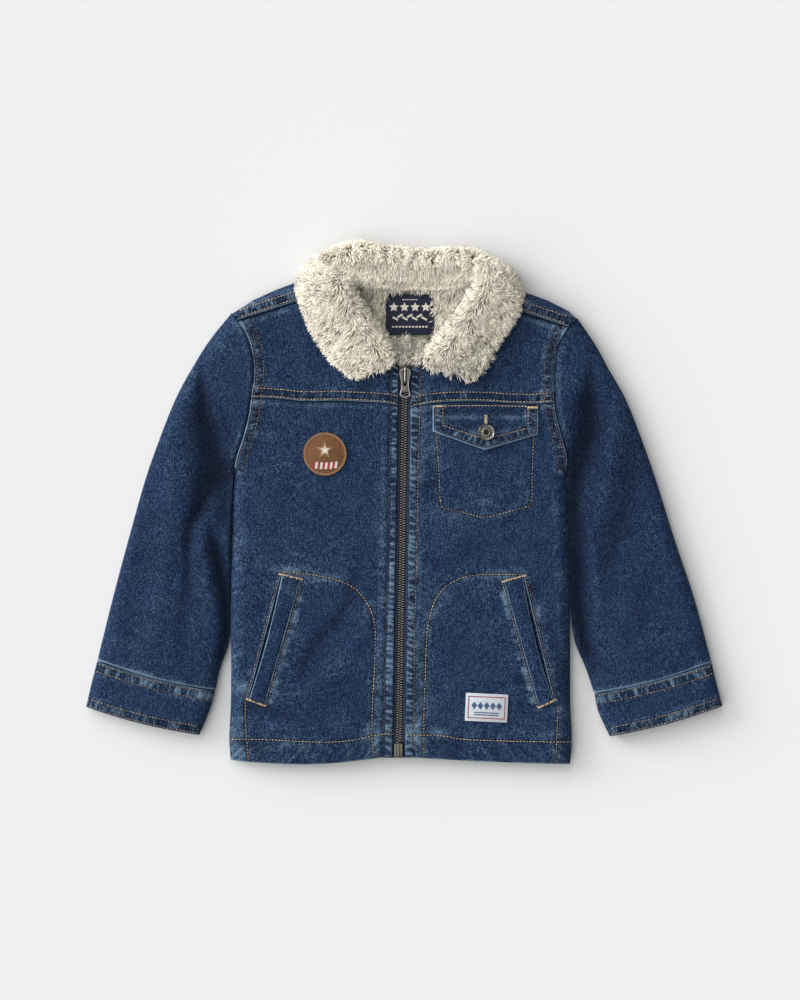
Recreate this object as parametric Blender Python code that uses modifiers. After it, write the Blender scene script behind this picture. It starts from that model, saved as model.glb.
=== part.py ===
# A child's denim jacket with a sherpa collar, zipped up and laid flat on its back.
# Sizes and tables are in millimetres; MM turns them into metres where meshes are made.
# X runs across the jacket to the wearer's left, Y from the hem up to the collar, and
# Z up from the surface it lies on, which is z = 0.
from collections import namedtuple
from math import cos, exp, hypot, pi, radians, sin, sqrt

import bmesh
import bpy
from mathutils import Vector

MM = 0.001

# ---- driving sizes, mm ----
SEAM_GAP = 0.4         # between pieces sewn edge to edge
ARMHOLE_GAP = 1.0      # the armhole is curved, so its two edges stand further apart
LAYER_GAP = 0.4        # between pieces that lie on each other
MID_HEIGHT = 7.5       # where front and back meet at the side seams
BODY_TOP = 15.0        # face of the front panels
THIN_EDGE = 1.2        # a panel's thickness where it rounds off to nothing
EDGE_RADIUS = 12.0     # how far in from a fold or side seam the cloth rounds over
HEM_RADIUS = 4.0
UNDERARM = 30.0        # height of the underarm point
SLEEVE_WALL = 5.8      # denim and lining of a sleeve
LINING_TOP = 12.6      # sherpa inside the neck
NECK_LEFT = 84.0       # where the shoulder seams run in under the collar
NECK_RIGHT = -66.0
ZIP_SLOT = 5.6         # half the space between the two front edges
ZIP_TILT = 1 / 60      # the zip leans a little from the vertical
ZIP_AT_YOKE = 0.5      # place of the zip at the yoke seams
YOKE_LEVEL = 93.0
CHAIN_HALF = 2.8
TAPE_FROM, TAPE_TO = 3.1, 5.3
TAPE_LOW, TAPE_HIGH = 11.2, 12.2
CHAIN_LOW, CHAIN_HIGH = 10.6, 13.4
STOP_HALF, STOP_HIGH = 4.2, 14.6
ZIP_END = -228.0
STOP_TOP = -215.6
TRIM_LIFT = BODY_TOP + LAYER_GAP
PLATE_LENGTH, PLATE_WIDTH, PLATE_THICK = 17.4, 10.4, 2.0
PLATE_CENTRE = 115.6   # middle of the slider along the zip
PLATE_TOP = 15.9
BAIL_RADIUS = 0.95
HINGE_LEVEL = 120.7    # the pull tab's top bar, inside the bail
TAB_THICK = 1.2
BAR_SWEEP = 0.93       # what the bar needs around it to turn

Side = namedtuple("Side", "y left right")
Level = namedtuple("Level", "x y")
Back = namedtuple("Back", "at y rise")
Edge = namedtuple("Edge", "at side centre bow")
Section = namedtuple("Section", "at ax ay bx by bow")
Sleeve = namedtuple("Sleeve", "at ox oy ix iy bulge top")
Leaf = namedtuple("Leaf", "at ix iy ox oy inner outer")
Fold = namedtuple("Fold", "x1 y1 x2 y2 width depth")
Column = namedtuple("Column", "at x top low")

# side seams and armholes of the body
SIDES = (
    Side(-236.0, -155.6, 149.6), Side(-213.0, -157.4, 151.0), Side(-175.0, -155.8, 149.6),
    Side(-95.0, -155.7, 149.4), Side(-38.0, -154.8, 147.8), Side(22.0, -153.6, 146.0),
    Side(40.0, -151.0, 146.8), Side(58.0, -145.2, 142.6), Side(78.0, -139.8, 137.2),
    Side(95.0, -137.5, 135.0), Side(118.0, -134.6, 134.8), Side(138.0, -137.0, 137.5),
    Side(156.0, -142.8, 144.3), Side(166.0, -149.5, 154.4), Side(171.0, -155.0, 159.5),
)

# the seam in front of each shoulder, and the fold of the back over it; low at the neck
SHOULDER_SEAM = (
    Level(-156.0, 163.0), Level(-66.0, 192.0), Level(-50.0, 194.0), Level(0.0, 188.5),
    Level(60.0, 187.0), Level(84.0, 180.1), Level(156.0, 156.5),
)
SHOULDER_FOLD = (
    Level(-156.0, 170.0), Level(-136.0, 183.0), Level(-116.0, 192.2), Level(-95.0, 200.0),
    Level(-66.0, 207.0), Level(-45.0, 208.0), Level(-20.0, 201.0), Level(0.0, 197.5),
    Level(22.0, 198.0), Level(44.0, 204.0), Level(64.0, 209.0), Level(84.0, 203.0),
    Level(110.0, 190.0), Level(129.0, 183.0), Level(148.0, 173.5), Level(156.0, 166.0),
)

# rows of the back: height, and how far the row follows the shoulder seam
BACK = (
    Back(0, -229.0, 0.0), Back(1, -211.0, 0.0), Back(2, -130.0, 0.0), Back(3, -40.0, 0.0),
    Back(4, 22.0, 0.0), Back(5, 40.0, 0.0), Back(6, 58.0, 0.0), Back(7, 78.0, 0.0),
    Back(8, 98.0, 0.2), Back(9, 118.0, 0.4), Back(10, 138.0, 0.7), Back(11, 150.0, 0.88),
    Back(12, 157.5, 0.97),
)
SEAM_ROW, FOLD_ROW = 13, 15   # rows above the table: the shoulder seam and the fold
SEAM_ENDS = (-148.6, 146.9)   # where the shoulder seams meet the armholes
FOLD_ENDS = (-154.4, 154.0)

# cross rows of the two fronts: height at the side, at the zip, and sag between
FRONT_RIGHT = (
    Edge(0, -231.0, -227.3, 5.5), Edge(1, -212.0, -208.5, 4.0), Edge(2, -150.0, -150.0, 0.0),
    Edge(3, -60.0, -60.0, 0.0), Edge(4, 20.0, 15.0, 0.0), Edge(5, 40.0, 36.0, 0.0),
    Edge(6, 58.0, 54.0, 0.0), Edge(7, 78.0, 71.0, 0.0), Edge(8, 95.6, 86.0, 1.5),
)
FRONT_LEFT = (
    Edge(0, -234.6, -228.2, 1.0), Edge(1, -214.5, -208.5, 1.5), Edge(2, -150.0, -150.0, 0.0),
    Edge(3, -60.0, -60.0, 0.0), Edge(4, 20.0, 15.0, 0.0), Edge(5, 40.0, 36.0, 0.0),
    Edge(6, 58.0, 54.0, 0.0), Edge(7, 76.0, 71.0, 0.0), Edge(8, 90.4, 86.2, -1.6),
)

# sleeve sections from the armhole to the cuff: o on the outer fold, i on the inner one
SLEEVE_RIGHT = (
    Sleeve(0, -155.7, 170.0, -155.2, 27.0, 1.0, 15.0),
    Sleeve(1, -174.6, 147.2, -156.2, 6.0, 0.75, 14.6),
    Sleeve(2, -191.7, 120.2, -157.2, -15.0, 0.5, 14.4),
    Sleeve(3, -206.1, 93.2, -157.6, -39.0, 0.3, 14.2),
    Sleeve(4, -220.5, 57.2, -158.0, -64.0, 0.15, 14.0),
    Sleeve(5, -233.1, 21.2, -158.2, -90.5, 0.05, 13.8),
    Sleeve(6, -248.4, -32.9, -159.6, -123.0, 0.0, 13.4),
    Sleeve(7, -262.8, -86.9, -165.5, -147.5, 0.0, 13.0),
    Sleeve(8, -276.3, -141.6, -170.1, -168.6, 0.0, 12.6),
)
SLEEVE_LEFT = (
    Sleeve(0, 155.7, 165.5, 147.6, 25.0, 1.0, 15.0),
    Sleeve(1, 171.9, 142.7, 148.2, 4.0, 0.75, 14.6),
    Sleeve(2, 184.5, 120.2, 149.4, -18.5, 0.5, 14.4),
    Sleeve(3, 199.8, 93.2, 150.6, -42.0, 0.3, 14.2),
    Sleeve(4, 214.2, 57.2, 151.4, -69.0, 0.15, 14.0),
    Sleeve(5, 226.9, 21.2, 152.3, -97.0, 0.05, 13.8),
    Sleeve(6, 244.0, -32.9, 157.8, -124.0, 0.0, 13.4),
    Sleeve(7, 261.9, -86.9, 166.0, -148.1, 0.0, 13.0),
    Sleeve(8, 277.2, -143.4, 171.5, -171.3, 0.0, 12.6),
)
CUFF_RIGHT = (
    Sleeve(0, -276.5, -142.2, -170.3, -169.2, -2.0, 13.4),
    Sleeve(1, -281.6, -162.5, -175.0, -185.5, -2.3, 13.4),
    Sleeve(2, -286.4, -183.2, -184.5, -208.4, -2.6, 13.0),
)
CUFF_LEFT = (
    Sleeve(0, 277.4, -144.0, 171.7, -171.9, -2.0, 13.4),
    Sleeve(1, 281.4, -161.5, 175.5, -188.5, -2.3, 13.4),
    Sleeve(2, 287.1, -182.3, 185.4, -209.7, -2.6, 13.0),
)

# the main folds of the sleeves, pressed into their upper walls
FOLDS = (
    Fold(-180.0, 128.0, -176.0, 20.0, 11.0, 3.0), Fold(-173.0, 10.0, -163.5, -90.0, 8.0, 3.4),
    Fold(-190.0, -5.0, -195.0, -92.0, 9.0, 1.8), Fold(170.0, 116.0, 162.5, 42.0, 9.0, 3.4),
    Fold(161.0, 30.0, 156.0, -60.0, 8.0, 3.4), Fold(207.0, 68.0, 196.0, -40.0, 13.0, 1.8),
)

# the collar, right leaf tip to left leaf tip: i beside the neck, o the outer edge of the
# pile; heights of the pile a little inside each of them
COLLAR = (
    Leaf(0, -4.0, 128.5, -47.0, 109.5, 26.0, 25.0),
    Leaf(1, -12.6, 145.4, -66.0, 127.4, 30.0, 27.0),
    Leaf(2, -24.3, 161.6, -82.0, 152.0, 33.0, 28.0),
    Leaf(3, -37.0, 180.0, -92.0, 176.0, 35.0, 29.0),
    Leaf(4, -43.0, 197.0, -97.2, 197.0, 34.0, 30.0),
    Leaf(5, -39.0, 206.0, -88.0, 214.0, 30.0, 31.0),
    Leaf(6, -27.0, 203.0, -68.4, 228.0, 24.0, 31.0),
    Leaf(7, -12.6, 197.0, -44.0, 235.2, 20.0, 30.0),
    Leaf(8, 1.0, 195.0, -11.0, 231.0, 19.0, 29.0),
    Leaf(9, 14.0, 195.0, 23.0, 229.0, 19.0, 29.0),
    Leaf(10, 32.4, 198.0, 55.8, 229.5, 20.0, 30.0),
    Leaf(11, 50.0, 206.0, 77.5, 222.6, 24.0, 31.0),
    Leaf(12, 60.0, 210.0, 96.3, 209.0, 30.0, 31.0),
    Leaf(13, 62.0, 200.0, 105.3, 195.0, 34.0, 30.0),
    Leaf(14, 56.7, 188.0, 105.3, 176.0, 35.0, 29.0),
    Leaf(15, 46.8, 172.5, 97.2, 158.5, 34.0, 28.0),
    Leaf(16, 33.3, 155.3, 85.5, 140.0, 32.0, 27.0),
    Leaf(17, 19.5, 140.0, 76.0, 123.8, 30.0, 27.0),
    Leaf(18, 9.4, 128.0, 68.0, 108.5, 26.0, 25.0),
)
LEAF_END_BOW = 6.0      # how far a leaf's end edge swells out
LEAF_END_ROUND = 11.0   # length over which a leaf's end rounds down
COLLAR_ROUND = 12.0     # rounding of the pile along the collar's edges
GROUND_RING = 13.0      # how far around it the collar keeps clear of raised edges
LAST_LEAF = COLLAR[-1].at

# edges of the sherpa inside the neck, from the zip up to the back neckline
NECK = (
    Side(128.0, -7.5, 9.4), Side(134.2, -20.5, 26.5), Side(149.5, -41.0, 47.0),
    Side(164.5, -49.0, 60.0), Side(183.0, -53.0, 66.0),
)

# welts of the hand pockets, along the slit (a) and the inner edge (b)
WELT_RIGHT = (
    Section(0, -139.5, -176.5, -126.2, -181.4, 0.0), Section(1, -109.8, -64.0, -93.6, -68.0, 0.0),
)
WELT_LEFT = (
    Section(0, 122.4, -183.0, 134.4, -177.5, 0.0), Section(1, 90.9, -69.8, 107.0, -65.5, 0.0),
)
WELT_THICK = 1.6

# flap of the chest pocket: edge under the yoke seam (top) and pointed lower edge (low)
FLAP = (Column(0, 25.8, 86.2, 64.6), Column(1, 73.0, 86.2, 47.9), Column(2, 120.8, 85.6, 62.1))
FLAP_THICK = 2.2

# labels: width, height, thickness, centre, turn in degrees
PATCH_RADIUS, PATCH_THICK, PATCH_X, PATCH_Y = 19.5, 1.4, -71.0, 44.5
HEM_LABEL_SIZE, HEM_LABEL_AT, HEM_LABEL_TURN = (38.0, 25.2, 0.9), (74.2, -183.6), -2.7
NECK_LABEL_SIZE, NECK_LABEL_AT = (43.2, 37.0, 1.0), (5.2, 170.0)
BUTTON_AT, BUTTON_RADIUS = (74.0, 64.0), 7.8


def clear_scene():
    for thing in list(bpy.data.objects):
        bpy.data.objects.remove(thing)


def collection(name):
    made = bpy.data.collections.new(name)
    bpy.context.scene.collection.children.link(made)
    return made


def material(name, colour, roughness, metallic=0.0):
    made = bpy.data.materials.new(name)
    made.use_nodes = True
    shader = made.node_tree.nodes["Principled BSDF"]
    shader.inputs["Base Color"].default_value = (*colour, 1.0)
    shader.inputs["Roughness"].default_value = roughness
    shader.inputs["Metallic"].default_value = metallic
    return made


# ---- reading the tables ----

# A table's column at a key between its rows, on a smooth curve or a straight line.
def read(table, column, key, smooth=True):
    keys = [row[0] for row in table]
    values = [getattr(row, column) for row in table]
    if key <= keys[0]:
        return values[0]
    if key >= keys[-1]:
        return values[-1]
    low = max(index for index, start in enumerate(keys) if start <= key)
    span = keys[low + 1] - keys[low]
    t = (key - keys[low]) / span
    here, there = values[low], values[low + 1]
    if not smooth:
        return here + (there - here) * t

    def slope(index):
        before, after = max(index - 1, 0), min(index + 1, len(keys) - 1)
        return (values[after] - values[before]) / (keys[after] - keys[before])

    leave, arrive = slope(low) * span, slope(low + 1) * span
    return (
        (2 * t**3 - 3 * t**2 + 1) * here + (t**3 - 2 * t**2 + t) * leave
        + (3 * t**2 - 2 * t**3) * there + (t**3 - t**2) * arrive
    )


def mix(here, there, share):
    return here + (there - here) * share


# Keys through a table, with a number of steps between one row and the next.
def keys_through(table, steps):
    last = table[-1][0]
    return [last * index / (steps * (len(table) - 1)) for index in range(steps * (len(table) - 1) + 1)]


# Shares of a width, close together at an edge that rounds over.
def shares(count, start_soft=True, end_soft=True):
    even = [index / count for index in range(count + 1)]
    if start_soft and end_soft:
        return [0.5 - 0.5 * cos(pi * share) for share in even]
    if start_soft:
        return [1 - cos(pi / 2 * share) for share in even]
    if end_soft:
        return [sin(pi / 2 * share) for share in even]
    return even


# ---- heights of the laid jacket ----

# A quarter circle's height at a distance from the edge that it rounds off.
def rounded(distance, radius):
    inside = 1 - min(max(distance, 0.0), radius) / radius
    return sqrt(max(0.0, 1 - inside**2))


def zip_x(y):
    return ZIP_AT_YOKE + (y - YOKE_LEVEL) * ZIP_TILT


def side_x(y, side):
    return read(SIDES, side, y)


def seam_y(x):
    return read(SHOULDER_SEAM, "y", x, smooth=False)


def fold_y(x):
    return read(SHOULDER_FOLD, "y", x, smooth=False)


# Distance from the side seams and from the shoulder folds.
def edge_distance(x, y):
    level = min(y, UNDERARM)
    from_side = min(x - side_x(level, "left"), side_x(level, "right") - x)
    from_seam = hypot(max(from_side, 0.0), y - level)
    at_neck = NECK_RIGHT < x < NECK_LEFT
    from_fold = EDGE_RADIUS if at_neck else fold_y(x) - y
    return min(from_seam, from_fold)


def body_top(x, y):
    return MID_HEIGHT + (BODY_TOP - MID_HEIGHT) * rounded(edge_distance(x, y), EDGE_RADIUS)


def body_low(x, y):
    return MID_HEIGHT * (1 - rounded(edge_distance(x, y), EDGE_RADIUS))


def sleeve_fold(x, y):
    total = 0.0
    for fold in FOLDS:
        run_x, run_y = fold.x2 - fold.x1, fold.y2 - fold.y1
        length = hypot(run_x, run_y)
        along = ((x - fold.x1) * run_x + (y - fold.y1) * run_y) / length
        across = ((x - fold.x1) * run_y - (y - fold.y1) * run_x) / length
        beyond = max(0.0, -along, along - length)
        total += fold.depth * exp(-(across**2 + beyond**2) / fold.width**2)
    return total


# ---- building ----

def finish(bm, name, look, group, flat=False):
    bmesh.ops.recalc_face_normals(bm, faces=bm.faces[:])
    for vertex in bm.verts:
        vertex.co *= MM
    mesh = bpy.data.meshes.new(name)
    bm.to_mesh(mesh)
    bm.free()
    if not flat:
        mesh.shade_smooth()
        mesh.set_sharp_from_angle(angle=0.7)
    made = bpy.data.objects.new(name, mesh)
    made.data.materials.append(look)
    group.objects.link(made)
    return made


# A closed solid between two heights. place gives the plan point for a column share and
# a row key; low and high give the heights there.
def layer(name, look, group, columns, rows, place, low, high):
    bm = bmesh.new()
    across, along = len(columns) - 1, len(rows) - 1
    bmesh.ops.create_grid(bm, x_segments=across, y_segments=along, size=0.5)
    raised = bmesh.ops.extrude_face_region(bm, geom=bm.faces[:])["geom"]
    upper = {item for item in raised if isinstance(item, bmesh.types.BMVert)}
    for vertex in bm.verts:
        column = columns[round((vertex.co.x + 0.5) * across)]
        row = rows[round((vertex.co.y + 0.5) * along)]
        x, y = place(column, row)
        vertex.co = (x, y, high(x, y, row) if vertex in upper else low(x, y, row))
    return finish(bm, name, look, group)


# A plan point on the section at a key, a share of the way from a to b.
def on_section(table, share, key, smooth=True):
    ax, ay, bx, by, bow = (read(table, name, key, smooth) for name in ("ax", "ay", "bx", "by", "bow"))
    length = hypot(bx - ax, by - ay)
    push = bow * sin(pi * share)
    x = mix(ax, bx, share) + push * (by - ay) / length
    y = mix(ay, by, share) - push * (bx - ax) / length
    return x, y


# A small flat piece that lies on a flat face.
def plate(name, look, group, table, base, thick, columns=3, steps=4):
    return layer(
        name, look, group, shares(columns, False, False), keys_through(table, steps),
        lambda share, key: on_section(table, share, key, smooth=False),
        lambda x, y, key: base, lambda x, y, key: base + thick,
    )


# A closed skin over a grid that joins up both ways, or is capped at its ends.
def skin(name, look, group, around, along, place, capped):
    bm = bmesh.new()
    bmesh.ops.create_grid(bm, x_segments=around, y_segments=along, size=0.5)
    for vertex in bm.verts:
        i = round((vertex.co.x + 0.5) * around) % around
        j = round((vertex.co.y + 0.5) * along)
        vertex.co = place(i, j if capped else j % along)
    bmesh.ops.remove_doubles(bm, verts=bm.verts[:], dist=0.01)
    if capped:
        bmesh.ops.holes_fill(bm, edges=[edge for edge in bm.edges if edge.is_boundary])
    return finish(bm, name, look, group)



def make_back(look, group):
    last = BACK[-1].at

    def place(share, row):
        if row <= last:
            y = read(BACK, "y", row)
            left, right = side_x(y, "left"), side_x(y, "right")
            x = mix(left, right, share)
            level = mix(seam_y(left), seam_y(right), share)
            return x, y + read(BACK, "rise", row) * (seam_y(x) - level)
        up = (row - SEAM_ROW) / (FOLD_ROW - SEAM_ROW)
        x = mix(mix(*SEAM_ENDS, share), mix(*FOLD_ENDS, share), up)
        return x, mix(seam_y(x), fold_y(x), up)

    def high(x, y, row):
        if row >= SEAM_ROW and not NECK_RIGHT < x < NECK_LEFT:
            return max(body_top(x, y), MID_HEIGHT + THIN_EDGE)
        return MID_HEIGHT - LAYER_GAP / 2

    def low(x, y, row):
        return min(body_low(x, y), MID_HEIGHT - THIN_EDGE - LAYER_GAP / 2)

    rows = [row / 2 for row in range(2 * last + 1)]
    rows += [SEAM_ROW - 0.02, SEAM_ROW, SEAM_ROW + 1, FOLD_ROW - 0.4, FOLD_ROW]
    return layer("back", look, group, shares(26), rows, place, low, high)


def panel_low(x, y, key):
    return MID_HEIGHT + LAYER_GAP / 2


def panel_high(x, y, key):
    return max(body_top(x, y), MID_HEIGHT + THIN_EDGE + LAYER_GAP / 2)


# A front panel. out is +1 on the wearer's left and -1 on the right.
def make_front(name, edges, side, out, look, group):
    def place(share, row):
        side_y, centre_y = read(edges, "side", row), read(edges, "centre", row)
        x = mix(side_x(side_y, side), zip_x(centre_y) + out * ZIP_SLOT, share)
        return x, mix(side_y, centre_y, share) - read(edges, "bow", row) * sin(pi * share)

    def high(x, y, row):
        above_hem = row * (edges[1].side - edges[0].side)
        edge = mix(0.6, 1.0, rounded(above_hem, HEM_RADIUS))
        return mix(panel_low(x, y, row), panel_high(x, y, row), edge)

    rows = [0, 0.08, 0.3] + keys_through(edges, 2)[2:]
    return layer(name, look, group, shares(10, True, False), rows, place, panel_low, high)


def at_seam(x):
    return seam_y(x) - ARMHOLE_GAP


# Yoke sections from the armhole to the zip: a on the yoke seam, b on the shoulder seam
# or, further in, on the neckline.
YOKE_RIGHT = (
    Section(0, -137.5, 96.0, -149.9, at_seam(-149.9), 9.0),
    Section(1, -115.0, 93.4, -123.0, at_seam(-123.0), 6.0),
    Section(2, -88.0, 91.2, -95.0, at_seam(-95.0), 3.0),
    Section(3, -62.0, 89.0, -70.0, at_seam(-70.0), 0.0),
    Section(4, -38.0, 87.8, -44.0, 150.0, 0.0),
    Section(5, -20.0, 87.0, -22.0, 133.0, 0.0),
    Section(6, -5.2, 86.5, -4.7, 126.0, 0.0),
)
YOKE_LEFT = (
    Section(0, 135.0, 90.8, 147.7, at_seam(147.7), -9.0),
    Section(1, 115.0, 91.9, 122.0, at_seam(122.0), -6.0),
    Section(2, 95.0, 92.3, 103.0, at_seam(103.0), -3.0),
    Section(3, 74.0, 92.2, 88.0, at_seam(88.0), 0.0),
    Section(4, 48.0, 91.2, 53.0, 150.0, 0.0),
    Section(5, 24.0, 89.0, 30.0, 133.0, 0.0),
    Section(6, 6.0, 86.9, 6.6, 126.0, 0.0),
)


def make_yoke(name, table, side, look, group):
    def place(share, key):
        x, y = on_section(table, share, key, smooth=False)
        return (side_x(y, side), y) if key == 0 else (x, y)

    return layer(name, look, group, shares(7, False, False), keys_through(table, 2), place,
                 panel_low, panel_high)


# A flattened tube of cloth with a narrow slit inside. Around it, the first half turn
# goes over the top from the outer fold to the inner one.
def make_tube(name, table, armhole, steps, around, look, group):
    keys = keys_through(table, steps)
    last = len(keys) - 1

    def plan(key, share):
        ox, oy, ix, iy, bulge = (read(table, name, key) for name in ("ox", "oy", "ix", "iy", "bulge"))
        x, y = mix(ox, ix, share), mix(oy, iy, share)
        width = hypot(ix - ox, iy - oy)
        if armhole is None:
            return x, y + bulge * sin(pi * share), width
        start_y = mix(table[0].oy, table[0].iy, share)
        gap = ARMHOLE_GAP if armhole == "left" else -ARMHOLE_GAP
        curve = side_x(start_y, armhole) - gap - mix(table[0].ox, table[0].ix, share)
        return x + bulge * curve, y, width

    def place(turn, loop):
        outside = loop <= last
        key = keys[loop] if outside else keys[2 * last + 1 - loop]
        angle = 2 * pi * turn / around
        share = (1 - cos(angle)) / 2
        width = plan(key, share)[2]
        inset = 0.0 if outside else SLEEVE_WALL / width
        share = mix(inset, 1 - inset, share)
        x, y, width = plan(key, share)
        from_edge = min(share - inset, 1 - inset - share) * width
        crown = read(table, "top", key) - MID_HEIGHT - sleeve_fold(x, y)
        up, down = crown, MID_HEIGHT
        if not outside:
            up, down = max(0.5, crown - SLEEVE_WALL), max(0.5, down - SLEEVE_WALL)
        height = up if sin(angle) >= 0 else -down
        radius = EDGE_RADIUS if outside else THIN_EDGE
        return x, y, MID_HEIGHT + height * rounded(from_edge, radius)

    return skin(name, look, group, around, 2 * last + 2, place, capped=False)


# ---- collar and neck ----

def neck_x(y, side):
    return read(NECK, side, y, smooth=False)


# Height of what the collar lies on, taken over a ring so that its facets clear steps.
def ground(x, y):
    highest = 0.0
    for step in range(8):
        px = x + GROUND_RING * cos(step * pi / 4)
        py = y + GROUND_RING * sin(step * pi / 4)
        for qx, qy in ((px, py), (mix(x, px, 0.5), mix(y, py, 0.5)), (x, y)):
            if qy > fold_y(qx):
                continue
            in_neck = NECK[0].y < qy and neck_x(qy, "left") < qx < neck_x(qy, "right")
            highest = max(highest, LINING_TOP if in_neck else body_top(qx, qy))
    return highest


def make_collar(look, group):
    keys = [0, 0.1, 0.3, 0.6] + keys_through(COLLAR, 2)[2:-2]
    keys += [LAST_LEAF - 0.6, LAST_LEAF - 0.3, LAST_LEAF - 0.1, LAST_LEAF]
    around = 20

    def plan(key, share):
        ix, iy, ox, oy = (read(COLLAR, name, key) for name in ("ix", "iy", "ox", "oy"))
        return mix(ix, ox, share), mix(iy, oy, share), hypot(ox - ix, oy - iy)

    def place(turn, ring):
        key = keys[ring]
        angle = 2 * pi * turn / around
        share = (1 - cos(angle)) / 2
        x, y, width = plan(key, share)
        first = key < LAST_LEAF / 2
        end, next_in = (0, 1) if first else (LAST_LEAF, LAST_LEAF - 1)
        near = max(0.0, 1 - abs(key - end))
        end_x, end_y, _ = plan(end, 0.5)
        in_x, in_y, _ = plan(next_in, 0.5)
        run = hypot(end_x - in_x, end_y - in_y)
        push = LEAF_END_BOW * sin(pi * share) * near**2 / run
        x, y = x + push * (end_x - in_x), y + push * (end_y - in_y)
        below = ground(x, y)
        low = below + LAYER_GAP if below else 0.0
        high = max(mix(read(COLLAR, "inner", key), read(COLLAR, "outer", key), share), low + 8)
        edge = mix(low, high, 0.4)
        from_side = min(share, 1 - share) * width
        ending = mix(0.3, 1.0, rounded(abs(key - end) * run, LEAF_END_ROUND))
        if sin(angle) >= 0:
            height = (high - edge) * rounded(from_side, COLLAR_ROUND)
        else:
            height = (low - edge) * rounded(from_side, COLLAR_ROUND / 2)
        return x, y, edge + height * ending

    return skin("collar", look, group, around, len(keys) - 1, place, capped=True)


def make_neck_lining(look, group):
    top = NECK[-1].y
    rows = [mix(NECK[0].y, top, index / 6) for index in range(7)] + [top + 1, top + 2]

    # the two rows above the table rise to the back neckline
    def place(share, row):
        x = mix(neck_x(row, "left"), neck_x(row, "right"), share)
        return x, row if row <= top else mix(top, fold_y(x) - LAYER_GAP, (row - top) / 2)

    return layer("neck_lining", look, group, shares(8, False, False), rows, place,
                 panel_low, lambda x, y, key: LINING_TOP)


# ---- zip ----

# A strip along the leaning zip, between two distances from its middle line.
def zip_strip(name, look, group, near, far, start, end, low, high):
    return layer(
        name, look, group, [0, 1], [mix(start, end, index / 4) for index in range(5)],
        lambda share, y: (zip_x(y) + mix(near, far, share), y),
        lambda x, y, key: low, lambda x, y, key: high,
    )


def block(name, look, group, size, centre, bevel=0.0, turn=0.0):
    bm = bmesh.new()
    bmesh.ops.create_cube(bm, size=1.0)
    for vertex in bm.verts:
        x, y, z = (vertex.co[axis] * size[axis] for axis in range(3))
        vertex.co = (x * cos(turn) - y * sin(turn) + centre[0],
                     x * sin(turn) + y * cos(turn) + centre[1], z + centre[2])
    made = finish(bm, name, look, group)
    if bevel:
        rounding = made.modifiers.new("rounded edges", "BEVEL")
        rounding.width = bevel * MM
        rounding.segments = 2
        rounding.limit_method = "ANGLE"
    return made


def join(made, other):
    other.hide_render = True
    other.display_type = "WIRE"
    union = made.modifiers.new("join " + other.name, "BOOLEAN")
    union.operation = "UNION"
    union.solver = "EXACT"
    union.object = other


# The bail: a bent wire that stands on the slider's plate.
def make_bail(look, cutters):
    x = zip_x(PLATE_CENTRE)
    bar_z = PLATE_TOP + SEAM_GAP + BAR_SWEEP
    crest = bar_z + BAR_SWEEP + SEAM_GAP + BAIL_RADIUS
    back = HINGE_LEVEL + BAR_SWEEP + SEAM_GAP + BAIL_RADIUS
    front = PLATE_CENTRE - PLATE_LENGTH / 2 + 2.4
    foot = PLATE_TOP - PLATE_THICK / 2
    route = (
        (x, back, foot), (x, back, crest - 1.0), (x, back - 1.0, crest),
        (x, mix(back, front, 0.5), crest), (x, front + 1.6, crest - 0.3),
        (x, front, crest - 1.8), (x, front, foot),
    )
    curve = bpy.data.curves.new("bail wire", "CURVE")
    curve.dimensions = "3D"
    curve.bevel_depth = BAIL_RADIUS * MM
    curve.bevel_resolution = 2
    curve.use_fill_caps = True
    spline = curve.splines.new("POLY")
    spline.points.add(len(route) - 1)
    for point, place in zip(spline.points, route):
        point.co = (*(value * MM for value in place), 1.0)
    wire = bpy.data.objects.new("bail wire", curve)
    cutters.objects.link(wire)
    bpy.context.view_layer.update()
    ready = wire.evaluated_get(bpy.context.evaluated_depsgraph_get())
    mesh = bpy.data.meshes.new_from_object(ready)
    bpy.data.objects.remove(wire)
    bm = bmesh.new()
    bm.from_mesh(mesh)
    bmesh.ops.remove_doubles(bm, verts=bm.verts[:], dist=1e-6)
    bm.to_mesh(mesh)
    bm.free()
    bail = bpy.data.objects.new("bail", mesh)
    bail.data.materials.append(look)
    cutters.objects.link(bail)
    return bail


def make_slider(look, group, cutters):
    x = zip_x(PLATE_CENTRE)
    top = PLATE_TOP - PLATE_THICK / 2
    slider = block("zip_slider", look, group, (PLATE_WIDTH, PLATE_LENGTH, PLATE_THICK),
                   (x, PLATE_CENTRE, top), bevel=0.7)
    post_low = TAPE_LOW - 2.0
    post_high = PLATE_TOP - PLATE_THICK / 2
    post = block("slider post", look, cutters, (4.4, PLATE_LENGTH - 4.0, post_high - post_low),
                 (x, PLATE_CENTRE, (post_low + post_high) / 2))
    under = block("slider underside", look, cutters, (PLATE_WIDTH - 0.6, PLATE_LENGTH - 1.0, 1.4),
                  (x, PLATE_CENTRE, post_low))
    for piece in (post, under, make_bail(look, cutters)):
        join(slider, piece)
    return slider


# Half widths of the pull tab at distances down from its bar.
TAB = (
    (-0.65, 2.6), (0.3, 4.2), (2.0, 5.2), (4.2, 5.2), (7.5, 4.3), (11.0, 3.6), (17.0, 3.6),
    (20.0, 4.4), (22.6, 4.7), (24.6, 3.6), (25.7, 1.6),
)
TAB_SLOT = ((0.65, 15.4), 1.6)   # from and to, half width
TAB_EYE = (22.2, 3.3, 2.0)       # distance, half width, half height


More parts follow.
